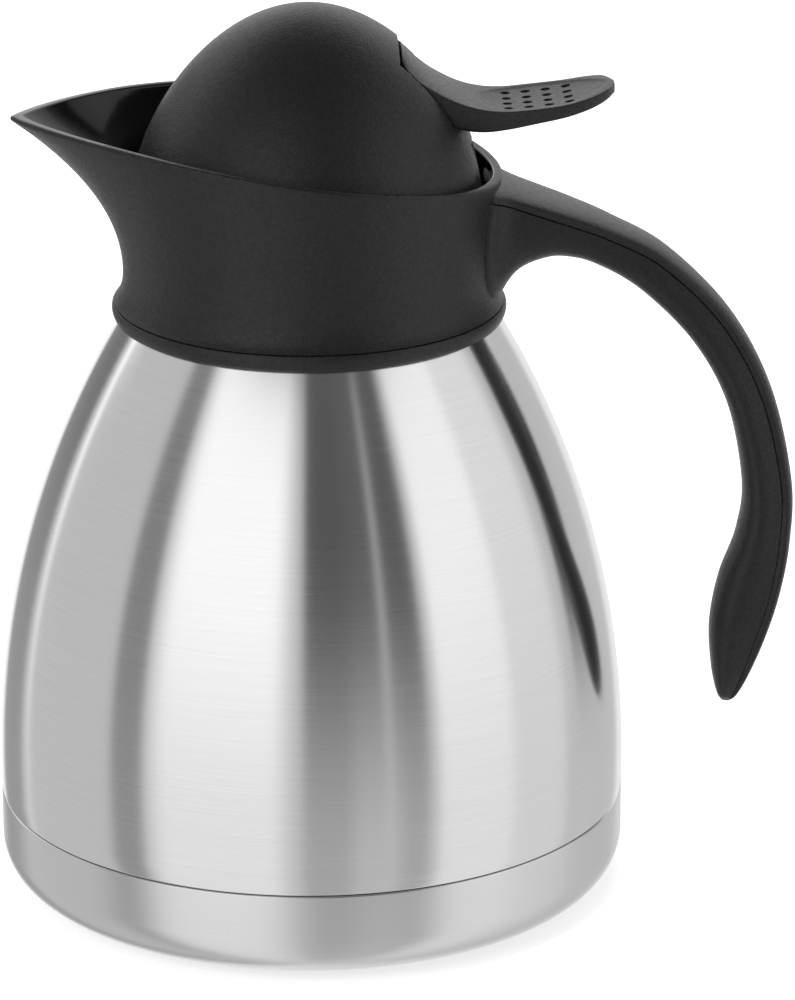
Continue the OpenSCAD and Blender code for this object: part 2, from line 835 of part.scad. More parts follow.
module stopper_cup() {
    cavity_r = plug_neck_r - stopper_wall;
    color("#333333")
        difference() {
            rotate_extrude()
                difference() {
                    union() {
                        plug_half(0);
                        translate([0, stopper_flange_low])
                            square([stopper_flange_r, stopper_flange_t]);
                    }
                    intersection() {
                        plug_half(stopper_wall);
                        square([cavity_r, stopper_flange_low + 2 * over]);
                    }
                    translate([0, stopper_flange_low])
                        square([cavity_r, stopper_flange_t + over]);
                    translate([plug_neck_r, groove_low])
                        square([plug_top_r, gasket_t]);
                }
            at_bosses()
                translate([0, 0, base_plate_low - screw_cap_t - fit])
                    cylinder(r = screw_head_r + ease, h = screw_cap_t + over);
            translate([pin_x - knuckle_r - 1, -slot_w / 2, 0])
                cube([dome_r, slot_w, dome_top]);
        }
}

module stopper_insulation() {
    color("white")
        rotate_extrude()
            intersection() {
                plug_half(stopper_wall + ease);
                square([plug_neck_r - stopper_wall - ease, base_plate_low - screw_cap_t - ease]);
            }
}

module stopper_gasket() {
    lip_gap = 0.12;
    low_r = mouth_r + (groove_low + fit - flange_top + seat_h) * tan(seat_angle) - lip_gap;
    top_r = low_r + (gasket_t - 2 * fit) * tan(seat_angle);
    color("gray")
        rotate_extrude()
            polygon([[plug_neck_r + fit, groove_low + fit], [low_r, groove_low + fit],
                [top_r, groove_low + gasket_t - fit], [plug_neck_r + fit, groove_low + gasket_t - fit]]);
}

pin_l = slot_w - 3.2;

module hinge_pin() {
    color("lightsteelblue")
        translate([pin_x, 0, pin_z])
            rotate([90, 0, 0])
                cylinder(r = pin_r, h = pin_l, center = true);
}

coil_r = pin_r + wire_r + 0.55;
coil_pitch = (pocket_w - 2 * ease - wire_d) / spring_turns;
coil_sides = 6;
coil_steps = 12;

// Centre line of the spring: a leg on the lid's shelf, the turns round the pin, a leg on the web
coil_n = spring_turns * coil_steps;
spring_line = concat(
    [[pin_x - 7.6, -coil_pitch * spring_turns / 2, pin_z + coil_r]],
    [for (i = [0:coil_n]) let (a = 90 + 360 * i / coil_steps)
        [pin_x + coil_r * cos(a), coil_pitch * (i / coil_steps - spring_turns / 2), pin_z + coil_r * sin(a)]],
    [[tower_x - 1.1, coil_pitch * spring_turns / 2, pin_z - coil_r]]);

// Least gap of the spring to itself, between points half a turn or more apart
spring_gap = min([for (i = [0:len(spring_line) - coil_steps / 2 - 1])
    for (j = [i + coil_steps / 2:len(spring_line) - 1]) norm(spring_line[i] - spring_line[j])]) - wire_d;
echo(spring_gap = spring_gap);  // lid_spring

// Ring of points round a point of a line, square to the line's run
function wire_ring(line, i) = let (
    a = line[max(i - 1, 0)],
    b = line[min(i + 1, len(line) - 1)],
    d = (b - a) / norm(b - a),
    side = cross(d, [0, 1, 0]) / norm(cross(d, [0, 1, 0])),
    up = cross(side, d))
    [for (k = [0:coil_sides - 1]) let (q = 360 * k / coil_sides)
        line[i] + wire_r * (cos(q) * side + sin(q) * up)];

module lid_spring() {
    color("gray")
        skin([for (i = [0:len(spring_line) - 1]) wire_ring(spring_line, i)]);
}

outer_shell();
inner_flask();
vacuum_floor();
getter();
seal_plug();
base_cup();
foot_ring();
collar_ring();
collar();
mouth_ring();
neck_gasket();
handle();
handle_cover();
handle_screws();
dome();
lid_base();
thumb_lever();
lever_screws();
dome_screws();
stopper_cup();
stopper_insulation();
stopper_gasket();
hinge_pin();
lid_spring();
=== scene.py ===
"""Looks of a thermal carafe with a pouring collar, an open handle and a sprung domed flip lid.

Every piece is shaped in millimetres in the frame of the CAD model: +Z up, +X towards the handle, the spout at -X.
"""

import json
import logging
import math
from dataclasses import dataclass
from enum import Enum
from typing import Sequence

import bmesh
import bpy
from mathutils import Matrix, Vector


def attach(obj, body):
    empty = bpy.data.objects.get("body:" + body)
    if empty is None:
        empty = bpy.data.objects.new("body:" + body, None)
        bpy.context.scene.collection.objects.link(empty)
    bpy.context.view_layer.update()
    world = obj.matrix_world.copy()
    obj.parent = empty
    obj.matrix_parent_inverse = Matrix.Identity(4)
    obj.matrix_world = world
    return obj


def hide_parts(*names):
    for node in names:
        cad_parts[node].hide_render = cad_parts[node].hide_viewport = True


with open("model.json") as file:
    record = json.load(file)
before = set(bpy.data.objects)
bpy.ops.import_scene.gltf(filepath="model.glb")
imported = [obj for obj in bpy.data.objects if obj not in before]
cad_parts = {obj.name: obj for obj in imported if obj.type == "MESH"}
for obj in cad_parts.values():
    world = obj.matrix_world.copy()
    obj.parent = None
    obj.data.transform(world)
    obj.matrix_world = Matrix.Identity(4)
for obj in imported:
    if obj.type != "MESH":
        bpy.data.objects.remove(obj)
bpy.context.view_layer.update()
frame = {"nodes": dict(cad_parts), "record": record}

log = logging.getLogger("carafe")

MM = 0.001
PER_METRE = 1000.0
ON_AXIS = 0.01
AROUND = 224
OVAL = 2.4
CREASE = 40.0
RIM_ANGLE = 55.0
MOST_OF_HALF = 0.48
Point = tuple[float, float]
Row = Sequence[float]
Value = float | bpy.types.NodeSocket


class Body(Enum):
    """Moving bodies of the carafe."""

    CARAFE = "carafe"
    LID = "lid"


class Slot(Enum):
    """Material slots named in the record."""

    BRUSHED_BODY = "brushed_body"
    SATIN_BASE = "satin_base"
    INNER_STEEL = "inner_steel"
    FLOOR_STEEL = "floor_steel"
    GETTER_METAL = "getter_metal"
    SEAL_GLASS = "seal_glass"
    GRAINED_PLASTIC = "grained_plastic"
    LEVER_PLASTIC = "lever_plastic"
    LID_PLASTIC = "lid_plastic"
    MOUTH_PLASTIC = "mouth_plastic"
    SILICONE = "silicone"
    FOOT_RUBBER = "foot_rubber"
    FOAM = "foam"
    FASTENER_STEEL = "fastener_steel"
    SPRING_WIRE = "spring_wire"


Finishes = dict[Slot, bpy.types.Material]


def mix(a: float, b: float, t: float) -> float:
    """Straight-line mix of two values."""
    return a + (b - a) * t


def spow(v: float, e: float) -> float:
    """Power of a number that keeps its sign."""
    return math.copysign(abs(v) ** e, v)


def spline(rows: Sequence[Row], u: float) -> list[float]:
    """Smooth curve through the rows of a table.

    Args:
        rows: The table, one row for each whole number.
        u: Place along the table, from 0 to its last row.

    Returns:
        The values of the curve at u.
    """
    last = len(rows) - 1
    i = min(int(u), last - 1)
    t = u - i
    before, here = rows[max(i - 1, 0)], rows[i]
    after, beyond = rows[i + 1], rows[min(i + 2, last)]
    return [
        0.5 * (2 * b + (c - a) * t + (2 * a - 5 * b + 4 * c - d) * t * t + (3 * b - a - 3 * c + d) * t ** 3)
        for a, b, c, d in zip(before, here, after, beyond)
    ]


def bezier(a: Point, b: Point, c: Point, d: Point, n: int) -> list[Point]:
    """Points of a cubic Bezier curve from a to d, pulled by b and c, in n steps."""
    weights = [((1 - t) ** 3, 3 * t * (1 - t) ** 2, 3 * t * t * (1 - t), t ** 3)
               for t in (i / n for i in range(n + 1))]
    return [tuple(sum(w * p[k] for w, p in zip(ws, (a, b, c, d))) for k in (0, 1)) for ws in weights]


def arc(x: float, y: float, radius: float, degrees: Sequence[float]) -> list[Point]:
    """Points on a circle round x and y, at the given angles."""
    turns = [math.radians(degree) for degree in degrees]
    return [(x + radius * math.cos(turn), y + radius * math.sin(turn)) for turn in turns]


def rounded(corners: Sequence[tuple[float, float, float]], steps: int = 5) -> list[Point]:
    """Closed polygon whose corners are rounded.

    Args:
        corners: Corner points, each with the radius of its rounding, 0 for a plain point.
        steps: Steps in each rounding.

    Returns:
        The points of the outline. Their number depends only on which corners have a radius.
    """
    points: list[Point] = []
    count = len(corners)
    for i, (x, y, radius) in enumerate(corners):
        if radius <= 0:
            points.append((x, y))
            continue
        here = Vector((x, y))
        back = Vector(corners[i - 1][:2]) - here
        ahead = Vector(corners[(i + 1) % count][:2]) - here
        half = back.angle(ahead) / 2
        reach = min(radius / math.tan(half), MOST_OF_HALF * back.length, MOST_OF_HALF * ahead.length)
        radius = reach * math.tan(half)
        back.normalize()
        ahead.normalize()
        centre = here + (back + ahead).normalized() * radius / math.sin(half)
        start, end = here + back * reach - centre, here + ahead * reach - centre
        turn = start.angle_signed(end)
        for k in range(steps + 1):
            c, s = math.cos(-turn * k / steps), math.sin(-turn * k / steps)
            points.append((centre.x + c * start.x - s * start.y, centre.y + s * start.x + c * start.y))
    return points


class Shape:
    """A mesh under construction, in millimetres."""

    def __init__(self, name: str) -> None:
        """Start an empty mesh for the piece called name."""
        self.name = name
        self.bm = bmesh.new()

    def lathe(self, profile: Sequence[Point], steps: int, closed: bool = True) -> None:
        """Turn a profile round the Z axis.

        Args:
            profile: Points as distance from the axis and height.
            steps: Steps round the axis.
            closed: Whether the profile's last point joins its first.
        """
        verts = [self.bm.verts.new((x, 0, z)) for x, z in profile]
        pairs = list(zip(verts, verts[1:])) + ([(verts[-1], verts[0])] if closed else [])
        edges = [self.bm.edges.new(pair) for pair in pairs]
        bmesh.ops.spin(self.bm, geom=verts + edges, cent=(0, 0, 0), axis=(0, 0, 1), angle=math.tau,
                       steps=steps, use_merge=True)

    def loft(self, rings: Sequence[Sequence[Vector]], caps: bool = True) -> None:
        """Skin over closed rings that all have the same number of points.

        Args:
            rings: The rings, in order.
            caps: Whether the first and the last ring are closed by a face.
        """
        count = len(rings[0])
        circle = bmesh.ops.create_circle(self.bm, segments=count, radius=1)["verts"]
        row = sorted(circle, key=lambda vert: math.atan2(vert.co.y, vert.co.x))
        for vert, place in zip(row, rings[0]):
            vert.co = place
        edges = [self.bm.edges.get((row[i], row[(i + 1) % count])) for i in range(count)]
        if caps:
            bmesh.ops.contextual_create(self.bm, geom=edges)
        for ring in rings[1:]:
            made = bmesh.ops.extrude_edge_only(self.bm, edges=edges)["geom"]
            fresh = {v for v in made if isinstance(v, bmesh.types.BMVert)}
            row = [next(e.other_vert(v) for e in v.link_edges if e.other_vert(v) in fresh) for v in row]
            for vert, place in zip(row, ring):
                vert.co = place
            edges = [self.bm.edges.get((row[i], row[(i + 1) % count])) for i in range(count)]
        if caps:
            bmesh.ops.contextual_create(self.bm, geom=edges)

    def slab(self, outline: Sequence[Point], low: float, high: float, bevel: float) -> None:
        """Plate with an outline in the XZ plane.

        Args:
            outline: Points of the outline.
            low: Y of one face.
            high: Y of the other face.
            bevel: Size of the chamfer on its edges.
        """
        before = set(self.bm.faces)
        self.loft([[Vector((x, y, z)) for x, z in outline] for y in (low, high)])
        fresh = [face for face in self.bm.faces if face not in before]
        bmesh.ops.recalc_face_normals(self.bm, faces=fresh)
        rims = [e for e in {e for face in fresh for e in face.edges}
                if abs(e.verts[0].co.y - e.verts[1].co.y) < 1e-6]
        self.soften(rims, bevel, 2)

    def box(self, low: Vector, high: Vector, bevel: float) -> None:
        """Block with softened edges.

        Args:
            low: Its lowest corner.
            high: Its highest corner.
            bevel: Size of the chamfer on its edges.
        """
        made = bmesh.ops.create_cube(self.bm, size=1)["verts"]
        bmesh.ops.scale(self.bm, verts=made, vec=high - low)
        bmesh.ops.translate(self.bm, verts=made, vec=(low + high) / 2)
        self.soften(list({e for v in made for e in v.link_edges}), bevel, 2)

    def soften(self, edges: Sequence[bmesh.types.BMEdge], size: float, segments: int) -> None:
        """Bevel edges by size, in a number of segments."""
        bmesh.ops.bevel(self.bm, geom=edges, offset=size, segments=segments, profile=0.5, affect="EDGES",
                        material=-1)

    def split(self, place: Row, normal: Row, clear: bool = False) -> None:
        """Cut through the whole mesh along a plane.

        Args:
            place: A point of the plane.
            normal: The plane's normal.
            clear: Whether what lies on the normal's side goes.
        """
        geometry = self.bm.verts[:] + self.bm.edges[:] + self.bm.faces[:]
        bmesh.ops.bisect_plane(self.bm, geom=geometry, plane_co=place, plane_no=normal, clear_outer=clear)

    def thicken(self, wall: float, bevel: float) -> None:
        """Turn an open skin into a wall with softened rims.

        Args:
            wall: Thickness of the wall.
            bevel: Size of the rounding on its rims.
        """
        bmesh.ops.recalc_face_normals(self.bm, faces=self.bm.faces[:])
        bmesh.ops.solidify(self.bm, geom=self.bm.faces[:], thickness=wall)
        sharp = math.radians(RIM_ANGLE)
        rims = [e for e in self.bm.edges if len(e.link_faces) == 2 and e.calc_face_angle(0) > sharp]
        self.soften(rims, bevel, 3)

    def merge(self) -> None:
        """Join points that lie on each other."""
        bmesh.ops.remove_doubles(self.bm, verts=self.bm.verts[:], dist=1e-4)

    def release(self) -> bpy.types.Object:
        """Turn the mesh into an object in the scene.

        Returns:
            The new object, in metres.
        """
        bmesh.ops.scale(self.bm, verts=self.bm.verts[:], vec=(MM, MM, MM))
        mesh = bpy.data.meshes.new(self.name)
        self.bm.to_mesh(mesh)
        self.bm.free()
        made = bpy.data.objects.new(self.name, mesh)
        bpy.context.scene.collection.objects.link(made)
        return made

    def finish(self, body: Body, slot: Slot, finishes: Finishes, node: str) -> bpy.types.Object:
        """Turn the mesh into a piece of the carafe that stands for a CAD node.

        Args:
            body: The body it rides on.
            slot: The record's slot for its material.
            finishes: The material of each slot.
            node: The node that it replaces.

        Returns:
            The new piece.
        """
        bmesh.ops.recalc_face_normals(self.bm, faces=self.bm.faces[:])
        piece = self.release()
        smooth(piece.data)
        piece.data.materials.append(finishes[slot])
        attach(piece, body.value)
        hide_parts(node)
        log.info("%s: %d faces", self.name, len(piece.data.polygons))
        return piece


def smooth(mesh: bpy.types.Mesh) -> None:
    """Shade a mesh smooth, apart from its creases."""
    mesh.shade_smooth()
    mesh.set_sharp_from_angle(angle=math.radians(CREASE))


def carve(piece: bpy.types.Object, cutter: bpy.types.Object) -> None:
    """Take the cutter's volume out of a piece and remove the cutter.

    Args:
        piece: The piece that is cut.
        cutter: The volume that goes.
    """
    step = piece.modifiers.new("carve", "BOOLEAN")
    step.operation = "DIFFERENCE"
    step.solver = "EXACT"
    step.object = cutter
    graph = bpy.context.evaluated_depsgraph_get()
    mesh = bpy.data.meshes.new_from_object(piece.evaluated_get(graph), depsgraph=graph)
    piece.modifiers.clear()
    piece.data = mesh
    smooth(mesh)
    bpy.data.objects.remove(cutter)


class Graph:
    """Short ways to add nodes to a shader tree."""

    def __init__(self, tree: bpy.types.NodeTree) -> None:
        """Work on tree, from empty."""
        self.tree = tree
        tree.nodes.clear()

    def add(self, kind: str, inputs: dict | None = None, **settings: object) -> bpy.types.Node:
        """Add a node.

        Args:
            kind: The node's type name.
            inputs: Values or sockets for its inputs, by name or number.
            **settings: Its properties.

        Returns:
            The new node.
        """
        node = self.tree.nodes.new(kind)
        for name, value in settings.items():
            setattr(node, name, value)
        self.feed(node, inputs or {})
        return node

    def feed(self, node: bpy.types.Node, inputs: dict) -> None:
        """Give a node's inputs their values or sockets.

        Args:
            node: The node.
            inputs: Values or sockets, by the input's name or number.
        """
        for key, value in inputs.items():
            if isinstance(value, bpy.types.NodeSocket):
                self.tree.links.new(value, node.inputs[key])
            else:
                node.inputs[key].default_value = value

    def math(self, operation: str, a: Value, b: Value = 0.0, c: Value = 0.0) -> bpy.types.NodeSocket:
        """Result of one sum."""
        return self.add("ShaderNodeMath", {0: a, 1: b, 2: c}, operation=operation).outputs[0]

    def ramp(self, value: Value, low: float, high: float, to_low: float, to_high: float,
             smooth: bool = False) -> bpy.types.NodeSocket:
        """Take a value from one range to another and hold it at the ends.

        Args:
            value: The value.
            low: Start of its range.
            high: End of its range.
            to_low: Result at the start.
            to_high: Result at the end.
            smooth: Whether the result eases in and out.

        Returns:
            The result.
        """
        kind = "SMOOTHSTEP" if smooth else "LINEAR"
        inputs = {"Value": value, 1: low, 2: high, 3: to_low, 4: to_high}
        return self.add("ShaderNodeMapRange", inputs, interpolation_type=kind, clamp=True).outputs["Result"]

    def place(self, scale: tuple[float, float, float] = (1, 1, 1)) -> bpy.types.NodeSocket:
        """Object coordinates in metres, times scale."""
        coords = self.add("ShaderNodeTexCoord").outputs["Object"]
        return self.add("ShaderNodeVectorMath", {0: coords, 1: scale}, operation="MULTIPLY").outputs[0]

    def noise(self, vector: bpy.types.NodeSocket, scale: float, detail: float,
              rough: float = 0.5) -> bpy.types.NodeSocket:
        """Soft noise from 0 to 1."""
        inputs = {"Vector": vector, "Scale": scale, "Detail": detail, "Roughness": rough}
        return self.add("ShaderNodeTexNoise", inputs).outputs["Fac"]

    def blend(self, share: Value, a: Row, b: Row) -> bpy.types.NodeSocket:
        """Mix of two colours."""
        return self.add("ShaderNodeMix", {0: share, 6: a, 7: b}, data_type="RGBA").outputs[2]

    def between(self, share: Value, a: Value, b: Value) -> bpy.types.NodeSocket:
        """Mix of two values."""
        return self.add("ShaderNodeMix", {0: share, 2: a, 3: b}, data_type="FLOAT").outputs[0]

    def weigh(self, a: Value, share_a: float, b: Value, share_b: float) -> bpy.types.NodeSocket:
        """Sum of two values, each times its share."""
        return self.math("ADD", self.math("MULTIPLY", a, share_a), self.math("MULTIPLY", b, share_b))

    def bump(self, strength: float, depth: float, height: Value) -> bpy.types.NodeSocket:
        """Normal of a surface whose height varies by depth in millimetres."""
        return self.add("ShaderNodeBump", {"Strength": strength, "Distance": depth * MM, "Height": height}).outputs[0]


def rgba(colour: Sequence[float], factor: float = 1.0) -> tuple[float, float, float, float]:
    """Colour times a factor, with full cover."""
    return (*(c * factor for c in colour), 1.0)


@dataclass(frozen=True)
class Finish:
    """Surface finish of a piece."""

    name: str
    colour: tuple[float, float, float]
    rough: float

    def build(self) -> bpy.types.Material:
        """Make the material.

        Returns:
            The material.
        """
        material = bpy.data.materials.new(self.name)
        material.use_nodes = True
        graph = Graph(material.node_tree)
        shader = graph.add("ShaderNodeBsdfPrincipled")
        self.paint(graph, shader)
        graph.add("ShaderNodeOutputMaterial", {"Surface": shader.outputs[0]})
        return material

    def paint(self, graph: Graph, shader: bpy.types.Node) -> None:
        """Set the shader's inputs; each kind of finish has its own."""
        raise NotImplementedError


@dataclass(frozen=True)
class Brushed(Finish):
    """Steel with fine lines around its axis, which stretch every reflection along the axis."""

    stretch: float = 0.6
    line: float = 0.28
    line_run: float = 90.0
    wide_line: float = 5.0
    wide_run: float = 260.0
    depth: float = 0.004
    contrast: float = 0.05

    def paint(self, graph: Graph, shader: bpy.types.Node) -> None:
        """Draw lines of two widths and a faint cloudiness, and let the roughness follow both.

        Args:
            graph: The material's nodes.
            shader: Its shader.
        """
        squeeze = PER_METRE / self.line
        fine_way, wide_way = squeeze / self.line_run, squeeze / self.wide_run
        fine = graph.noise(graph.place((fine_way, fine_way, squeeze)), 1.0, 3.0, 0.65)
        wide = graph.noise(graph.place((wide_way, wide_way, squeeze / self.wide_line)), 1.0, 2.0, 0.5)
        cloud = graph.noise(graph.place(), 26.0, 2.0)
        lines = graph.weigh(fine, 0.85, wide, 0.15)
        share = graph.ramp(lines, 0.3, 0.7, 0.0, 1.0)
        low, high = rgba(self.colour, 1 - self.contrast), rgba(self.colour, 1 + self.contrast)
        rough = graph.math("ADD", graph.ramp(lines, 0.3, 0.7, self.rough - 0.02, self.rough + 0.02),
                           graph.ramp(cloud, 0.3, 0.7, -0.012, 0.012))
        around = graph.add("ShaderNodeTangent", direction_type="RADIAL", axis="Z").outputs[0]
        graph.feed(shader, {
            "Base Color": graph.blend(share, low, high),
            "Metallic": 1.0,
            "Roughness": rough,
            "Anisotropic": self.stretch,
            "Anisotropic Rotation": 0.25,
            "Tangent": around,
            "Normal": graph.bump(0.2, self.depth, lines),
        })


@dataclass(frozen=True)
class Grained(Finish):
    """Moulded plastic with a fine spark-eroded grain."""

    grain: float = 0.38
    depth: float = 0.16
    speckle: float = 0.5
    gloss: float = 0.44
    bloom: float = 0.16

    def paint(self, graph: Graph, shader: bpy.types.Node) -> None:
        """Draw grain of two sizes in bump, colour, gloss and bloom, with slow flow marks in the roughness.

        Args:
            graph: The material's nodes.
            shader: Its shader.
        """
        small = graph.noise(graph.place(), PER_METRE / self.grain, 2.0, 0.6)
        large = graph.noise(graph.place(), 0.33 * PER_METRE / self.grain, 1.0)
        flow = graph.noise(graph.place(), 30.0, 3.0)
        grain = graph.weigh(small, 0.7, large, 0.3)
        share = graph.ramp(grain, 0.42, 0.68, 0.0, 1.0)
        low, high = rgba(self.colour, 1 - 0.5 * self.speckle), rgba(self.colour, 1 + self.speckle)
        rough = graph.math("ADD", graph.ramp(grain, 0.3, 0.7, self.rough + 0.05, self.rough - 0.05),
                           graph.ramp(flow, 0.3, 0.7, -0.02, 0.02))
        graph.feed(shader, {
            "Base Color": graph.blend(share, low, high),
            "Roughness": rough,
            "Specular IOR Level": graph.ramp(grain, 0.4, 0.62, 0.94 * self.gloss, 1.06 * self.gloss),
            "Sheen Weight": graph.ramp(grain, 0.46, 0.62, 0.0, self.bloom),
            "Sheen Roughness": 0.25,
            "Normal": graph.bump(1.0, self.depth, grain),
        })


@dataclass(frozen=True)
class Polished(Finish):
    """Smooth moulded plastic, glass bead or rubber with faint moulding waves and dust."""

    gloss: float = 0.5
    waves: float = 0.04
    dust: float = 0.15
    dust_tone: float = 0.35

    def paint(self, graph: Graph, shader: bpy.types.Node) -> None:
        """Draw slow waves in the bump, and fine dust that dulls and lightens the surface a little.

        Args:
            graph: The material's nodes.
            shader: Its shader.
        """
        waves = graph.noise(graph.place(), 160.0, 3.0)
        dust = graph.noise(graph.place(), 1500.0, 3.0, 0.7)
        share = graph.ramp(dust, 0.5, 0.75, 0.0, self.dust)
        rough = graph.math("ADD", graph.ramp(dust, 0.3, 0.75, self.rough - 0.02, self.rough + 0.06),
                           graph.ramp(waves, 0.3, 0.7, -0.02, 0.02))
        pale = rgba(tuple(mix(c, self.dust_tone, 0.25) for c in self.colour))
        graph.feed(shader, {
            "Base Color": graph.blend(share, rgba(self.colour), pale),
            "Roughness": rough,
            "Specular IOR Level": self.gloss,
            "Normal": graph.bump(0.3, self.waves, waves),
        })


@dataclass(frozen=True)
class Milled(Finish):
    """Plain metal with a fine random surface, such as pressed, turned or drawn steel."""

    grain: float = 0.15
    depth: float = 0.006

    def paint(self, graph: Graph, shader: bpy.types.Node) -> None:
        """Draw fine grain and soft spots of tone.

        Args:
            graph: The material's nodes.
            shader: Its shader.
        """
        grain = graph.noise(graph.place((1, 1, 2.5)), PER_METRE / self.grain, 3.0, 0.6)
        spots = graph.noise(graph.place(), 90.0, 3.0)
        share = graph.ramp(graph.weigh(grain, 0.5, spots, 0.5), 0.35, 0.65, 0.0, 1.0)
        graph.feed(shader, {
            "Base Color": graph.blend(share, rgba(self.colour, 0.9), rgba(self.colour, 1.08)),
            "Metallic": 1.0,
            "Roughness": graph.ramp(spots, 0.3, 0.7, self.rough - 0.04, self.rough + 0.04),
            "Normal": graph.bump(0.4, self.depth, grain),
        })


@dataclass(frozen=True)
class Foamed(Finish):
    """Moulded foam of small beads."""

    bead: float = 2.2
    joint_depth: float = 0.2

    def paint(self, graph: Graph, shader: bpy.types.Node) -> None:
        """Draw beads with soft dark joints between them.

        Args:
            graph: The material's nodes.
            shader: Its shader.
        """
        inputs = {"Vector": graph.place(), "Scale": PER_METRE / self.bead}
        cells = graph.add("ShaderNodeTexVoronoi", inputs, feature="DISTANCE_TO_EDGE").outputs["Distance"]
        joint = graph.ramp(cells, 0.0, 0.12, 0.0, 1.0, smooth=True)
        graph.feed(shader, {
            "Base Color": graph.blend(joint, rgba(self.colour, 0.75), rgba(self.colour)),
            "Roughness": self.rough,
            "Normal": graph.bump(0.5, self.joint_depth, joint),
        })


FINISHES: dict[Slot, Finish] = {
    Slot.BRUSHED_BODY: Brushed("brushed body", (0.8, 0.8, 0.805), 0.17, stretch=0.8, contrast=0.03),
    Slot.SATIN_BASE: Brushed("satin base", (0.76, 0.76, 0.765), 0.3, stretch=0.5, line=0.22, contrast=0.02),
    Slot.INNER_STEEL: Brushed("inner steel", (0.62, 0.62, 0.63), 0.22, stretch=0.3, line=0.5, contrast=0.03),
    Slot.FLOOR_STEEL: Milled("floor steel", (0.55, 0.55, 0.56), 0.4),
    Slot.GETTER_METAL: Milled("getter metal", (0.16, 0.16, 0.17), 0.7, grain=0.3, depth=0.03),
    Slot.SEAL_GLASS: Polished("sealing bead", (0.2, 0.28, 0.22), 0.12, gloss=0.6),
    Slot.GRAINED_PLASTIC: Grained("grained plastic", (0.0058, 0.0058, 0.006), 0.4),
    Slot.LEVER_PLASTIC: Grained("lever plastic", (0.009, 0.009, 0.0093), 0.38, depth=0.22),
    Slot.LID_PLASTIC: Grained("lid plastic", (0.011, 0.011, 0.0115), 0.42, grain=0.25, depth=0.008, speckle=0.3),
    Slot.MOUTH_PLASTIC: Polished("mouth plastic", (0.004, 0.004, 0.0042), 0.1, gloss=0.36, dust=0.02),
    Slot.SILICONE: Polished("silicone", (0.3, 0.3, 0.31), 0.55, gloss=0.35),
    Slot.FOOT_RUBBER: Polished("foot rubber", (0.025, 0.025, 0.025), 0.7, gloss=0.25, dust=0.4),
    Slot.FOAM: Foamed("foam", (0.85, 0.84, 0.8), 0.8),
    Slot.FASTENER_STEEL: Milled("fastener steel", (0.5, 0.5, 0.51), 0.25, grain=0.08),
    Slot.SPRING_WIRE: Milled("spring wire", (0.42, 0.42, 0.43), 0.3, grain=0.06),
}


@dataclass(frozen=True)
class FlaskSize:
    """Sizes of the steel flask."""

    radius: float = 70.0
    side: float = 200.0
    belly: float = 28.0
    neck: float = 33.0
    neck_top: float = 150.8
    seam: float = 22.0
    gap: float = 0.2
    corner: float = 11.0
    foot: float = 1.2
    wall: float = 0.8
    covered: float = 132.0
    edge: float = 0.35
    inner_edge: float = 0.3
    around: int = 256

    def at(self, z: float, inset: float = 0.0) -> float:
        """Radius of the flask.

        Args:
            z: Height.
            inset: How far inside the outer skin.

        Returns:
            The radius.
        """
        if z <= self.belly:
            return self.radius - inset
        return self.radius - self.side + math.sqrt((self.side - inset) ** 2 - (z - self.belly) ** 2)


class Flask:
    """Outer wall and base cup, with the rolled edges that meet at the seam."""

    def __init__(self, size: FlaskSize) -> None:
        """Take the flask's sizes."""
        self.size = size

    def build_wall(self, finishes: Finishes) -> None:
        """Make the outer wall, up to the neck.

        Args:
            finishes: The material of each slot.
        """
        s = self.size
        heights = [s.belly + (s.covered - s.belly) * i / 60 for i in range(61)]
        outside = [(s.radius, s.seam, s.edge), (s.radius, s.belly - 2, 0)]
        outside += [(s.at(z), z, 0) for z in heights]
        shoulder = s.belly + math.sqrt(s.side ** 2 - (s.neck + s.side - s.radius) ** 2)
        outside += [(s.neck, shoulder, 1.0), (s.neck, s.neck_top, 0)]
        inside = [(s.neck - s.wall, s.neck_top, 0), (s.neck - s.wall, shoulder, 0)]
        inside += [(s.at(z, s.wall), z, 0) for z in reversed(heights)] + [(s.radius - s.wall, s.seam, s.inner_edge)]
        shell = Shape("flask_wall")
        shell.lathe(rounded(outside + inside), s.around)
        shell.finish(Body.CARAFE, Slot.BRUSHED_BODY, finishes, "outer_shell")

    def build_base(self, finishes: Finishes) -> None:
        """Make the base cup.

        Args:
            finishes: The material of each slot.
        """
        s = self.size
        lip, floor, inner = s.seam - s.gap, s.foot + s.wall, s.radius - s.wall
        cup = Shape("base_shell")
        cup.lathe(rounded([(ON_AXIS, s.foot, 0), (s.radius, s.foot, s.corner), (s.radius, lip, s.edge),
                           (inner, lip, s.inner_edge), (inner, floor, s.corner - s.wall), (ON_AXIS, floor, 0)],
                          14), s.around)
        cup.finish(Body.CARAFE, Slot.SATIN_BASE, finishes, "base_cup")

    def build(self, finishes: Finishes) -> None:
        """Make both pieces."""
        self.build_wall(finishes)
        self.build_base(finishes)


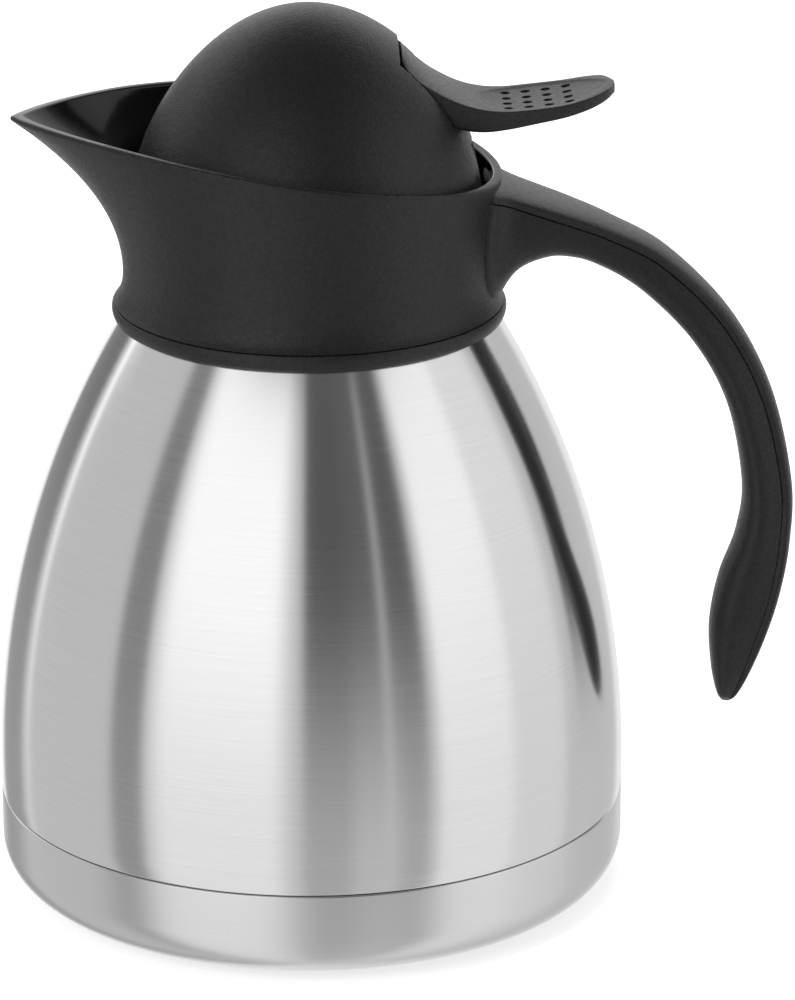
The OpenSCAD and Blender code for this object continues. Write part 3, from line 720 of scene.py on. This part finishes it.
@dataclass(frozen=True)
class CollarSize:
    """Sizes of the pouring collar and its ring."""

    foot: float = 134.9
    waist: float = 142.0
    waist_r: float = 40.8
    rim_r: float = 42.3
    rim: float = 170.7
    tilt: float = 6.6
    sag: float = 0.55
    reach: float = 65.8
    spread: float = 28.5
    wall: float = 2.2
    web: float = 155.0
    tube: float = 30.05
    ring_low: float = 131.2
    ring_top: float = 134.7
    bead: float = 2.6
    bore_steps: tuple[float, ...] = (133.9, 133.0, 132.1)
    play: float = 0.05
    skin: float = 1.5
    polished_from: float = 0.3

    def rim_at(self, phi: float) -> float:
        """Radius of the rim at phi degrees from the spout."""
        return self.rim_r + (self.reach - self.rim_r) * math.exp(-((abs(phi) / self.spread) ** 1.15))

    def rim_z(self, phi: float) -> float:
        """Height of the rim at phi degrees from the spout."""
        turn = math.radians(phi)
        return self.rim + self.tilt * math.cos(turn) - self.sag * math.cos(2 * turn)

    def wall_at(self, phi: float, s: float, inset: float = 0.0) -> Point:
        """Radius and height of the wall.

        Args:
            phi: Degrees from the spout.
            s: Share of the way up from the waist to the rim.
            inset: How far inside the outer skin.

        Returns:
            The radius and the height.
        """
        rise, grow = self.rim_z(phi) - self.waist, self.rim_at(phi) - self.waist_r
        slope = 2 * grow * s / rise
        return self.waist_r + grow * s * s - inset * math.sqrt(1 + slope * slope), self.waist + rise * s

    def foot_line(self) -> list[Point]:
        """Outer edge of the collar's foot, from the groove up to the waist."""
        r, low = self.waist_r, self.foot
        return bezier((r + 0.8 * self.bead, low), (r + 0.42 * self.bead, mix(low, self.waist, 0.155)),
                      (r, mix(low, self.waist, 0.41)), (r, self.waist), 16)

    def bead_line(self) -> list[Point]:
        """Outer edge of the locking ring, from its lower edge up to the groove."""
        r, rise = self.waist_r + self.bead, self.ring_top - self.ring_low
        return bezier((r - 0.35 * self.bead, self.ring_low), (r, self.ring_low + 0.3 * rise),
                      (r + 0.08 * self.bead, self.ring_low + 0.77 * rise), (r - 0.15 * self.bead, self.ring_top), 24)

    def outside(self, phi: float, z: float) -> float:
        """Outer radius over ring, foot and wall.

        Args:
            phi: Degrees from the spout.
            z: Height.

        Returns:
            The radius.
        """
        if z < self.foot:
            return self.waist_r + self.bead
        if z < self.waist:
            line = self.foot_line()
            i = next(k for k in range(1, len(line)) if line[k][1] >= z)
            (r0, z0), (r1, z1) = line[i - 1], line[i]
            return mix(r0, r1, (z - z0) / (z1 - z0))
        share = (z - self.waist) / (self.rim_z(phi) - self.waist)
        return self.wall_at(phi, share)[0]


@dataclass(frozen=True)
class HingeSize:
    """Sizes of the lid's hinge."""

    pin_x: float = 32.5
    pin_z: float = 163.5
    lug_r: float = 5.0
    lug_half: float = 5.5
    pocket_half: float = 3.2
    knuckle_r: float = 4.0
    foot_x: float = 32.85
    tower_x: float = 36.2
    tower_z: float = 165.8
    heel_z: float = 159.0


class PouringCollar:
    """Collar with its leaning spout, rolled rim, web and hinge lug, and the beaded ring below it."""

    around = 176
    levels = 16
    crowding = 1.35

    def __init__(self, size: CollarSize, hinge: HingeSize, flask: FlaskSize) -> None:
        """Take the sizes that the collar follows.

        Args:
            size: Sizes of the collar and its ring.
            hinge: Sizes of the hinge.
            flask: Sizes of the flask below.
        """
        self.size = size
        self.hinge = hinge
        self.flask = flask

    def section(self, phi: float) -> list[Point]:
        """Closed section of the collar.

        Args:
            phi: Degrees from the spout.

        Returns:
            Its points, as distance from the axis and height.
        """
        c = self.size
        foot = c.foot_line()
        corners = [(*foot[0], 0.3)] + [(*p, 0) for p in foot[1:-1]]
        corners += [(*c.wall_at(phi, i / self.levels), 0) for i in range(self.levels - 1)]
        corners += [(*c.wall_at(phi, 1), 0.6), (*c.wall_at(phi, 1, c.wall), 1.1)]
        low = (c.web - c.waist) / (c.rim_z(phi) - c.waist)
        corners += [(*c.wall_at(phi, mix(1, low, k / 9), c.wall), 0) for k in range(1, 7)]
        corners += [(*c.wall_at(phi, low, c.wall), 2.0), (c.tube, c.web, 0.3), (c.tube, c.web - c.wall, 0.3),
                    (c.waist_r - c.wall, c.web - c.wall, 0.8), (c.waist_r - c.wall, c.foot + 1.1, 0),
                    (c.waist_r - c.wall + 0.7, c.foot, 0.1)]
        return rounded(corners, 6)

    def cup(self, shape: Shape) -> None:
        """Add wall, rim and web as one closed skin, with its points crowded towards the spout.

        Args:
            shape: The collar under construction.
        """
        places = [180 * spow(1 - 2 * i / self.around, self.crowding) for i in range(self.around)]
        sections = [self.section(phi) for phi in places]
        rings = [
            [Vector((-r * math.cos(math.radians(phi)), -r * math.sin(math.radians(phi)), z))
             for phi, (r, z) in zip(places, level)]
            for level in zip(*sections)
        ]
        shape.loft(rings + [rings[0]], caps=False)
        shape.merge()

    def lug(self, shape: Shape) -> None:
        """Add the two cheeks and the heel that carry the hinge pin.

        Args:
            shape: The collar under construction.
        """
        h, c = self.hinge, self.size
        low = c.web - 0.5
        eye = arc(h.pin_x, h.pin_z, h.lug_r, range(80, 201, 10))
        cheek = [(h.foot_x, low), (h.tower_x, low), (h.tower_x, h.tower_z)] + eye
        for side in (-1, 1):
            near, far = sorted((side * h.pocket_half, side * h.lug_half))
            shape.slab(cheek, near, far, 0.25)
        near_x, wall_x = h.tower_x - 0.5, c.waist_r - 1.0
        heel = [(near_x, low), (wall_x, low), (wall_x, h.heel_z), (near_x, h.heel_z)]
        shape.slab(heel, -h.lug_half, h.lug_half, 0.3)

    def ring(self, finishes: Finishes) -> None:
        """Make the locking ring with its bead.

        Args:
            finishes: The material of each slot.
        """
        c, f = self.size, self.flask
        bead = c.bead_line()
        corners = [(*bead[0], 0.3)] + [(*p, 0) for p in bead[1:-1]] + [(*bead[-1], 0.35)]
        corners += [(f.at(z) + c.play, z, 0) for z in (c.ring_top, *c.bore_steps, c.ring_low)]
        shape = Shape("locking_ring")
        shape.lathe(rounded(corners), AROUND)
        shape.finish(Body.CARAFE, Slot.GRAINED_PLASTIC, finishes, "collar_ring")

    def polish(self, piece: bpy.types.Object, material: bpy.types.Material) -> None:
        """Give the inside of the collar its polished finish.

        Args:
            piece: The collar.
            material: The polished finish.
        """
        c = self.size
        piece.data.materials.append(material)
        for face in piece.data.polygons:
            x, y, z = face.center / MM
            phi = abs(math.degrees(math.atan2(y, -x)))
            share = (z - c.waist) / (c.rim_z(phi) - c.waist)
            if share > c.polished_from and math.hypot(x, y) < c.wall_at(phi, min(share, 1.0))[0] - c.skin:
                face.material_index = 1

    def build(self, finishes: Finishes) -> None:
        """Make the collar and its ring.

        Args:
            finishes: The material of each slot.
        """
        shape = Shape("pouring_collar")
        self.cup(shape)
        self.lug(shape)
        piece = shape.finish(Body.CARAFE, Slot.GRAINED_PLASTIC, finishes, "collar")
        self.polish(piece, finishes[Slot.MOUTH_PLASTIC])
        self.ring(finishes)


@dataclass(frozen=True)
class HandleSize:
    """Sizes of the handle.

    Each row runs from the collar to the free end: distance of the outer edge in from the handle's reach, its
    height, the same of the inner edge, half width of the cover, half width of the grip, crown of the cover.
    """

    reach: float = 107.58
    cover: float = 1.2
    full_depth: float = 12.0
    root: float = 0.5
    flare: float = 2.6
    flare_run: float = 7.0
    rows: tuple[Row, ...] = (
        (71.1, 164, 69.1, 133.5, 13, 14, 2), (66.6, 162.1, 65.3, 138, 12.2, 13.2, 2),
        (61.6, 160.1, 61.8, 141.8, 11.5, 12.5, 2), (55.3, 157.8, 57.4, 144, 10.7, 11.7, 2),
        (49.7, 155.7, 52.5, 144.7, 9.9, 10.8, 2), (40.9, 151.9, 45.3, 142.9, 8.6, 9.9, 2),
        (28.4, 144.8, 35, 136.6, 7.4, 9.2, 2), (14.5, 130.5, 23.1, 124.3, 6.6, 8.8, 2),
        (5.2, 112.8, 15, 109.2, 6.2, 8.6, 2), (0.3, 91.8, 11.2, 90.6, 6, 8.4, 1.9),
        (0.3, 77.2, 12.3, 78.8, 5.9, 8.2, 1.8), (2.2, 65, 16, 68.2, 5.8, 8, 1.7),
        (5.1, 54.9, 17.9, 57.3, 5.5, 7.6, 1.6), (8.6, 45.9, 17.4, 47.3, 4.8, 6.4, 1.4),
        (11.4, 40.3, 16.2, 41.1, 3.2, 4, 1), (13.3, 38.5, 15.1, 38.9, 1.2, 1.5, 0.4),
    )


class GripHandle:
    """Open-ended handle: a grip, and the crowned cover strip along its outer side."""

    steps = 8
    sides = 26

    def __init__(self, size: HandleSize, collar: CollarSize) -> None:
        """Take the sizes of the handle and of the collar that it grows from."""
        self.size = size
        self.collar = collar

    def grip_shares(self) -> list[Row]:
        """Section of the grip.

        Returns:
            Its points, as shares of cover width, swell, crown, cover thickness and depth.
        """
        shares = []
        for i in range(self.sides + 1):
            a = -math.pi * i / self.sides
            s = spow(-math.sin(a), 0.8) if 0 < i < self.sides else 0.0
            shares.append((spow(math.cos(a), 0.7), math.sin(-2 * a), 1 - s, 1 - s, s))
        return [(0.9, 0, 1, 0.9, 0)] + shares + [(-0.9, 0, 1, 0.9, 0)]

    def cover_shares(self) -> list[Row]:
        """Section of the cover.

        Returns:
            Its points, in the same shares as the grip's.
        """
        shares, edge, foot = [], 0.985, 0.95
        for i in range(self.sides + 1):
            a = math.pi * (1 - i / self.sides)
            lift = math.sin(a) ** 0.9 if 0 < i < self.sides else 0.0
            width = 1 if 0 < i < self.sides else edge
            shares.append((math.cos(a) * width, 0, 1 - lift, 0, 0))
        return shares + [(edge, 0, 1, 0.7, 0), (foot, 0, 1, 0.92, 0), (-foot, 0, 1, 0.92, 0), (-edge, 0, 1, 0.7, 0)]

    def point(self, u: float, share: Row) -> Vector:
        """Point of a section.

        Args:
            u: Row number of the section.
            share: The point's shares.

        Returns:
            The point.
        """
        g = spline(self.size.rows, u)
        outer, inner = Vector((self.size.reach - g[0], 0, g[1])), Vector((self.size.reach - g[2], 0, g[3]))
        depth = (outer - inner).length
        run = (inner - outer) / depth
        slim = min(1.0, depth / self.size.full_depth)
        v = share[2] * g[6] + share[3] * self.size.cover * slim + share[4] * depth
        place = outer + run * v
        place.y = share[0] * g[4] + share[1] * (g[5] - g[4])
        grow = self.flare_at(place)
        place.y += share[0] * grow
        place.z -= 0.7 * share[4] * grow
        return place

    def clear_of(self, p: Vector) -> float:
        """Distance of a point outside the collar."""
        phi = 180 - abs(math.degrees(math.atan2(p.y, p.x)))
        return math.hypot(p.x, p.y) - self.collar.outside(phi, p.z)

    def flare_at(self, p: Vector) -> float:
        """Swell of the handle at a point, where it flows into the collar."""
        away = max(0.0, self.clear_of(p)) / self.size.flare_run
        return self.size.flare * max(0.0, 1 - away) ** 3

    def start(self, share: Row) -> float:
        """Find where a line of the skin leaves the collar.

        Args:
            share: The line's shares.

        Returns:
            Its row number there.
        """
        low, high = 0.0, 4.0
        for _ in range(30):
            middle = (low + high) / 2
            if self.clear_of(self.point(middle, share)) < -self.size.root:
                low = middle
            else:
                high = middle
        return high

    def rings(self, shares: list[Row]) -> list[list[Vector]]:
        """Rings of the skin, the first of them on the collar's wall.

        Args:
            shares: The section's shares.

        Returns:
            The rings, in order.
        """
        last, common = len(self.size.rows) - 1, 5.0
        starts = [self.start(share) for share in shares]
        count = int(common * self.steps)
        root = [[self.point(mix(s, common, i / count), share) for s, share in zip(starts, shares)]
                for i in range(count)]
        rest = int((last - common) * self.steps)
        return root + [[self.point(mix(common, last, i / rest), share) for share in shares] for i in range(rest + 1)]

    def build(self, finishes: Finishes) -> None:
        """Make the grip and the cover.

        Args:
            finishes: The material of each slot.
        """
        for name, shares, node in (("handle_grip", self.grip_shares(), "handle"),
                                   ("handle_strip", self.cover_shares(), "handle_cover")):
            shape = Shape(name)
            shape.loft(self.rings(shares))
            shape.finish(Body.CARAFE, Slot.GRAINED_PLASTIC, finishes, node)


@dataclass(frozen=True)
class DomeSize:
    """Sizes of the lid's dome."""

    radius: float = 38.0
    low: float = 158.0
    top: float = 200.6
    bulge: float = 2.1
    bulge_z: float = 12.7
    crown: float = 0.6
    wall: float = 2.2
    slot_x: float = 19.6
    slot_half: float = 12.0
    edge: float = 0.35
    post_r: float = 3.4
    post_h: float = 13.0
    post_way: float = 27.5
    post_turns: tuple[float, ...] = (110, 180, 250)


@dataclass(frozen=True)
class LeverSize:
    """Sizes of the thumb lever.

    Each row of the blade holds the distance from the axis, the height of the edge, the thickness, the half width and
    the depth of the dish.
    """

    stem_front: float = 20.2
    stem_t: float = 2.6
    stem_half: float = 10.5
    stem_top: float = 182.5
    foot_front: float = 9.0
    foot_t: float = 2.4
    shelf: float = 5.2
    shelf_half: float = 2.8
    shelf_edge: float = 0.2
    cheek: float = 6.0
    cheek_half: float = 10.0
    cheek_low: float = 28.4
    cheek_high: float = 181.0
    cheek_back: tuple[Point, ...] = ((34.4, 169.0), (32.0, 176.4), (28.5, 178.6))
    edge: float = 0.25
    plate: float = 161.0
    pit_ways: tuple[float, ...] = (-1.5, -0.5, 0.5, 1.5)
    pit_r: float = 1.2
    pit_sink: float = 1.1
    pit_x: float = 49.8
    pit_step: float = 4.4
    pit_row: float = 4.3
    pad_x: float = 50.8
    pad_half: float = 14.6
    pad_edge: float = 0.9
    pad_depth: float = 0.5
    pad_soft: float = 0.22
    apron_low: float = 161.2
    apron_high: float = 176.0
    apron_gap: float = 170.6
    apron_wall: float = 1.6
    apron_inset: float = 0.25
    apron_play: float = 0.3
    rows: tuple[Row, ...] = (
        (20.2, 189.3, 7.0, 8.8, -2.0), (21.3, 188.3, 6.95, 10.6, -2.1), (23.81, 186, 6.77, 11.3, -1.7),
        (27.93, 183.3, 6.53, 10.9, -0.9), (32.93, 180.9, 5.94, 10.7, -0.3), (37.93, 179.6, 5.12, 10.9, 0.0),
        (42.93, 179.3, 4.22, 11.2, 0.1), (48.95, 179.8, 3.5, 11.3, 0.1), (55.48, 180.6, 3.0, 10.9, 0.1),
        (60.9, 181.8, 2.71, 9.38, 0.0), (64.51, 182.7, 2.31, 6.55, -0.1), (66.5, 182.7, 1.49, 2.26, -0.3),
    )


class FlipLid:
    """Domed lid with its rear slot, and the thumb lever that fills the slot."""

    across = 36
    steps = 10

    def __init__(self, dome: DomeSize, lever: LeverSize, hinge: HingeSize) -> None:
        """Take the sizes that the lid follows.

        Args:
            dome: Sizes of the dome.
            lever: Sizes of the lever.
            hinge: Sizes of the hinge.
        """
        self.dome = dome
        self.lever = lever
        self.hinge = hinge

    def dome_line(self, inset: float) -> list[Point]:
        """Profile of the dome.

        Args:
            inset: How far inside the outer skin.

        Returns:
            Its points from the edge to the axis.
        """
        d = self.dome
        return bezier((d.radius - inset, d.low), (d.radius + d.bulge - inset, d.low + d.bulge_z),
                      (d.crown * d.radius - inset / 2, d.top - inset), (0, d.top - inset), 40)

    def build_dome(self, finishes: Finishes) -> None:
        """Make the shell with a slot at the rear and softened edges, and its screw posts.

        Args:
            finishes: The material of each slot.
        """
        d = self.dome
        shape = Shape("lid_dome")
        bm = shape.bm
        shape.lathe(self.dome_line(0)[:-1] + [(2 * ON_AXIS, d.top)], AROUND, closed=False)
        shape.split((d.slot_x, 0, 0), (1, 0, 0))
        shape.split((0, d.slot_half, 0), (0, 1, 0))
        shape.split((0, -d.slot_half, 0), (0, 1, 0))
        gone = [f for f in bm.faces if f.calc_center_median().x > d.slot_x
                and abs(f.calc_center_median().y) < d.slot_half]
        bmesh.ops.delete(bm, geom=gone, context="FACES")
        bmesh.ops.contextual_create(bm, geom=[e for e in bm.edges if e.is_boundary
                                              and all(v.co.z > d.top - 0.1 for v in e.verts)])
        shape.thicken(d.wall, d.edge)
        for x, y in arc(0, 0, d.post_way, d.post_turns):
            made = bmesh.ops.create_cone(bm, cap_ends=True, segments=32, radius1=d.post_r, radius2=d.post_r,
                                         depth=d.post_h)["verts"]
            bmesh.ops.translate(bm, verts=made, vec=(x, y, self.lever.plate + d.post_h / 2))
        shape.finish(Body.LID, Slot.GRAINED_PLASTIC, finishes, "dome")

    def top_z(self, x: float, y: float, row: Row) -> float:
        """Height of the blade's top at x and y, with its sunk pad.

        Args:
            x: Distance from the axis.
            y: Distance from the middle plane.
            row: The blade's row at x.

        Returns:
            The height.
        """
        v = self.lever
        _, edge, _, half, dish = row
        off = abs((x - v.pad_x) / v.pad_half) ** OVAL + abs(y / max(half - v.pad_edge, 0.5)) ** OVAL
        t = min(max((1 - off) / v.pad_soft, 0.0), 1.0)
        sink = 0.5 * v.pad_depth * (t * t * (3 - 2 * t) + max(0.0, 1 - off))
        return edge - dish * (1 - abs(y / half) ** OVAL) - sink

    def blade_section(self, u: float) -> list[Vector]:
        """Closed section of the blade.

        Args:
            u: Row number of the section.

        Returns:
            Its points.
        """
        row = spline(self.lever.rows, u)
        x, edge, thick, half, _ = row
        turn = min(0.3 * thick, 0.7, 0.4 * half)
        inner = half - turn * 1.05
        ys = [inner * (-1 + 2 * i / self.across) for i in range(self.across + 1)]
        top = [(-half, edge, turn)] + [(y, self.top_z(x, y, row), 0) for y in ys] + [(half, edge, turn)]
        low = [(0.96 * y * half, edge - thick - 0.7 * (1 - y * y), 1.3 * turn if abs(y) == 1 else 0)
               for y in (1, 0.5, 0, -0.5, -1)]
        return [Vector((x, y, z)) for y, z in rounded(top + low, 4)]

    def row_at(self, x: float) -> Row:
        """Row of the blade at a place along it.

        Args:
            x: Distance from the axis.

        Returns:
            The row.
        """
        rows = self.lever.rows
        i = next(k for k in range(len(rows) - 1) if rows[k + 1][0] >= x)
        return spline(rows, i + (x - rows[i][0]) / (rows[i + 1][0] - rows[i][0]))

    def pits(self) -> bpy.types.Object:
        """Make the blunt pegs that carve the grip pits.

        Returns:
            All pegs as one object.
        """
        v = self.lever
        shape = Shape("pit_pegs")
        for i in v.pit_ways:
            for k in v.pit_ways:
                x, y = v.pit_x + i * v.pit_step, k * v.pit_row
                z = self.top_z(x, y, self.row_at(x)) - v.pit_sink + 1.5
                made = bmesh.ops.create_cone(shape.bm, cap_ends=True, segments=28, radius1=0.8 * v.pit_r,
                                             radius2=v.pit_r, depth=3)["verts"]
                bmesh.ops.translate(shape.bm, verts=made, vec=(x, y, z))
        return shape.release()

    def build_blade(self, finishes: Finishes) -> None:
        """Make the blade with its 16 grip pits.

        Args:
            finishes: The material of each slot.
        """
        count = (len(self.lever.rows) - 1) * self.steps
        shape = Shape("thumb_blade")
        shape.loft([self.blade_section(i / self.steps) for i in range(count + 1)])
        piece = shape.finish(Body.LID, Slot.LEVER_PLASTIC, finishes, "thumb_lever")
        carve(piece, self.pits())

    def build_apron(self, finishes: Finishes) -> None:
        """Make the rear wall under the blade, flush with the dome, that fills the dome's slot.

        Args:
            finishes: The material of each slot.
        """
        d, v = self.dome, self.lever
        side = d.slot_half - v.apron_play
        shape = Shape("lever_apron")
        bm = shape.bm
        shape.lathe([p for p in self.dome_line(v.apron_inset) if p[0] > d.slot_x], AROUND, closed=False)
        shape.split((0, side, 0), (0, 1, 0), clear=True)
        shape.split((0, -side, 0), (0, -1, 0), clear=True)
        shape.split((d.slot_x, 0, 0), (-1, 0, 0), clear=True)
        shape.split((0, 0, v.apron_low), (0, 0, -1), clear=True)
        shape.split((0, 0, v.apron_high), (0, 0, 1), clear=True)
        shape.split((0, v.cheek, 0), (0, 1, 0))
        shape.split((0, -v.cheek, 0), (0, 1, 0))
        shape.split((0, 0, v.apron_gap), (0, 0, 1))
        gone = [f for f in bm.faces if abs(f.calc_center_median().y) < v.cheek
                and f.calc_center_median().z < v.apron_gap]
        bmesh.ops.delete(bm, geom=gone, context="FACES")
        shape.merge()
        shape.thicken(v.apron_wall, v.edge)
        shape.finish(Body.LID, Slot.LEVER_PLASTIC, finishes, "thumb_lever")

    def build_stem(self, finishes: Finishes) -> None:
        """Make the stem, its foot, the shelf for the spring and the knuckles below the blade.

        Args:
            finishes: The material of each slot.
        """
        v, h = self.lever, self.hinge
        front, half = v.stem_front, v.stem_half
        shape = Shape("lever_stem")
        shape.box(Vector((front, -half, v.plate)), Vector((front + v.stem_t, half, v.stem_top)), v.edge)
        shape.box(Vector((v.foot_front, -half, v.plate)), Vector((front + 0.5, half, v.plate + v.foot_t)), v.edge)
        shape.box(Vector((front + 1, -v.shelf_half, h.pin_z - 1)),
                  Vector((front + v.shelf, v.shelf_half, h.pin_z + 1.7)), v.shelf_edge)
        side = [(front + 1, v.cheek_high), (front + 1, v.plate), (v.cheek_low, v.plate)]
        side += arc(h.pin_x, h.pin_z, h.knuckle_r, range(-150, 41, 10)) + list(v.cheek_back)
        for end in (-1, 1):
            low, high = sorted((end * v.cheek, end * v.cheek_half))
            shape.slab(side, low, high, v.edge)
        shape.finish(Body.LID, Slot.LEVER_PLASTIC, finishes, "thumb_lever")

    def build(self, finishes: Finishes) -> None:
        """Make the dome and the lever.

        Args:
            finishes: The material of each slot.
        """
        self.build_dome(finishes)
        self.build_blade(finishes)
        self.build_stem(finishes)
        self.build_apron(finishes)


@dataclass(frozen=True)
class Panel:
    """Upright light panel or black flag round the carafe, as it shows in the steel.

    Attributes:
        name: What stands there.
        turn: Direction of its middle in degrees, from the camera's side, positive to the right.
        half: Half its width in degrees.
        edge: Softness of its edges in degrees.
        high: Brightness in its upper part.
        low: Brightness in its lower part.
        top: Sine of the elevation above which it has its upper brightness.
        foot: Sine of the elevation below which it has its lower brightness.
    """

    name: str
    turn: float
    half: float
    edge: float
    high: float
    low: float
    top: float = 0.3
    foot: float = -0.4


PANELS: tuple[Panel, ...] = (
    Panel("left rear sweep", -172, 13, 6, 1.15, 1.05),
    Panel("left rear flag", -147, 13, 5, 0.1, 0.36),
    Panel("left slit", -128, 2.2, 2, 1.4, 0.8),
    Panel("left wall", -104, 22, 5, 0.6, 0.6),
    Panel("left flag", -71, 7, 4.5, 0.24, 0.32),
    Panel("left softbox", -35, 25, 12, 1.2, 0.9),
    Panel("camera side", 20, 23, 4, 0.1, 0.46),
    Panel("camera side glow", 24, 9, 9, 0.12, 0.58),
    Panel("right slit", 28, 1.6, 2, 0.42, 0.6),
    Panel("right softbox", 64, 17, 5, 1.08, 0.88),
    Panel("right softbox rim", 93, 14, 8, 0.86, 0.76),
    Panel("right flag", 122, 7, 3, 0.0, 0.62, -0.02, -0.3),
    Panel("right wall", 142, 10, 5, 0.55, 0.6),
    Panel("right rear sweep", 168, 14, 8, 0.85, 0.9),
)


@dataclass(frozen=True)
class CameraSize:
    """Place of the camera, in millimetres, and its lens."""

    place: tuple[float, float, float] = (-30.05, -1133.02, 482.24)
    ahead: tuple[float, float, float] = (0.04119, 0.94348, -0.32887)
    lens: float = 194.1
    sensor: float = 36.0


class Studio:
    """Camera, panels round the carafe, lamps and floor."""

    between_panels = 0.6
    behind_level = 1.4
    behind_turn = (-0.4, -0.75)
    behind_rise = (0.12, 0.34)
    ceiling_level = 0.12
    ceiling_rise = (0.62, 0.78)
    on_matt = 0.75

    def __init__(self, camera: CameraSize, panels: Sequence[Panel]) -> None:
        """Take the camera's place and the panels."""
        self.camera = camera
        self.panels = panels

    def build_camera(self) -> None:
        """Place the camera."""
        c = self.camera
        data = bpy.data.cameras.new("camera")
        data.sensor_fit = "VERTICAL"
        data.sensor_height = c.sensor
        data.lens = c.lens
        data.clip_start, data.clip_end = 0.05, 20
        camera = bpy.data.objects.new("camera", data)
        camera.matrix_world = Matrix.Translation(Vector(c.place) * MM) @ (
            Vector(c.ahead).to_track_quat("-Z", "Y").to_matrix().to_4x4())
        bpy.context.scene.collection.objects.link(camera)
        bpy.context.scene.camera = camera

    def build_world(self) -> None:
        """Make the surroundings white to the eye, panels in reflections, and plain light on all that is matt."""
        world = bpy.data.worlds.new("studio")
        bpy.context.scene.world = world
        world.use_nodes = True
        graph = Graph(world.node_tree)
        away = graph.add("ShaderNodeTexCoord").outputs["Generated"]
        facing = Vector((self.camera.place[0], self.camera.place[1], 0)).normalized()
        right = Vector((-facing.y, facing.x, 0))
        near = graph.add("ShaderNodeVectorMath", {0: away, 1: facing}, operation="DOT_PRODUCT").outputs["Value"]
        side = graph.add("ShaderNodeVectorMath", {0: away, 1: right}, operation="DOT_PRODUCT").outputs["Value"]
        turn = graph.math("MULTIPLY", graph.math("ARCTAN2", side, near), 180 / math.pi)
        height = graph.add("ShaderNodeSeparateXYZ", {0: away}).outputs["Z"]
        level: Value = self.between_panels
        for panel in self.panels:
            off = graph.math("WRAP", graph.math("SUBTRACT", turn, panel.turn), 180.0, -180.0)
            share = graph.ramp(graph.math("ABSOLUTE", off), panel.half - panel.edge / 2,
                               panel.half + panel.edge / 2, 1.0, 0.0, smooth=True)
            bright = graph.ramp(height, panel.foot, panel.top, panel.low, panel.high, smooth=True)
            level = graph.between(share, level, bright)
        behind = graph.math("MULTIPLY", graph.ramp(near, *self.behind_turn, 0.0, 1.0, smooth=True),
                            graph.ramp(height, *self.behind_rise, 0.0, 1.0, smooth=True))
        level = graph.between(behind, level, self.behind_level)
        ceiling = graph.ramp(height, *self.ceiling_rise, 0.0, 1.0, smooth=True)
        level = graph.between(ceiling, level, self.ceiling_level)
        path = graph.add("ShaderNodeLightPath").outputs
        seen = graph.math("MAXIMUM", path["Is Camera Ray"], path["Is Transmission Ray"])
        strength = graph.between(seen, graph.between(path["Is Glossy Ray"], self.on_matt, level), 1.0)
        back = graph.add("ShaderNodeBackground", {"Color": (1, 1, 1, 1), "Strength": strength})
        graph.add("ShaderNodeOutputWorld", {"Surface": back.outputs[0]})

    def build_floor(self) -> None:
        """Make the white sweep, which keeps only a faint shadow."""
        bm = bmesh.new()
        bmesh.ops.create_grid(bm, x_segments=1, y_segments=1, size=3)
        mesh = bpy.data.meshes.new("floor")
        bm.to_mesh(mesh)
        bm.free()
        material = bpy.data.materials.new("white sweep")
        material.use_nodes = True
        graph = Graph(material.node_tree)
        coat = graph.add("ShaderNodeBsdfDiffuse", {"Color": (0.8, 0.8, 0.8, 1)}).outputs[0]
        eye = graph.add("ShaderNodeLightPath").outputs["Is Camera Ray"]
        glow = graph.add("ShaderNodeEmission", {"Color": (1, 1, 1, 1), "Strength": graph.math("MULTIPLY", eye, 0.5)})
        total = graph.add("ShaderNodeAddShader", {0: coat, 1: glow.outputs[0]})
        graph.add("ShaderNodeOutputMaterial", {"Surface": total.outputs[0]})
        mesh.materials.append(material)
        floor = bpy.data.objects.new("floor", mesh)
        floor.visible_glossy = False
        bpy.context.scene.collection.objects.link(floor)

    def build_lamp(self, name: str, place: Row, size: float, watts: float) -> None:
        """Place a soft square lamp that looks at the middle of the carafe.

        Args:
            name: The lamp's name.
            place: Where it stands, in metres.
            size: Side of its square, in metres.
            watts: Its power.
        """
        data = bpy.data.lights.new(name, "AREA")
        data.size = size
        data.energy = watts
        lamp = bpy.data.objects.new(name, data)
        ahead = Vector((0, 0, 0.1)) - Vector(place)
        lamp.matrix_world = Matrix.Translation(Vector(place)) @ ahead.to_track_quat("-Z", "Y").to_matrix().to_4x4()
        lamp.visible_glossy = False
        bpy.context.scene.collection.objects.link(lamp)

    def build(self) -> None:
        """Make the whole studio."""
        self.build_camera()
        self.build_world()
        self.build_floor()
        self.build_lamp("top softbox", (-0.2, 0.1, 1.3), 1.1, 9)
        self.build_lamp("left softbox lamp", (-1.0, -0.9, 0.9), 0.8, 6)
        bpy.context.scene.view_settings.view_transform = "Standard"
        log.info("studio: %d panels", len(self.panels))


def finish_nodes(finishes: Finishes) -> None:
    """Give every CAD node the material of its slot in the record.

    Args:
        finishes: The material of each slot.
    """
    slots = {part["node"]: Slot(part["material_slot"]) for part in frame["record"]["subparts"]}
    for name, node in frame["nodes"].items():
        node.data.materials.clear()
        node.data.materials.append(finishes[slots[name]])
        log.info("%s: %s", name, slots[name].value)


def main() -> None:
    """Build the looks of the carafe and its studio."""
    logging.basicConfig(level=logging.INFO, format="%(message)s")
    finishes = {slot: finish.build() for slot, finish in FINISHES.items()}
    finish_nodes(finishes)
    flask, collar, hinge = FlaskSize(), CollarSize(), HingeSize()
    Flask(flask).build(finishes)
    PouringCollar(collar, hinge, flask).build(finishes)
    GripHandle(HandleSize(), collar).build(finishes)
    FlipLid(DomeSize(), LeverSize(), hinge).build(finishes)
    Studio(CameraSize(), PANELS).build()


if __name__ == "__main__":
    main()
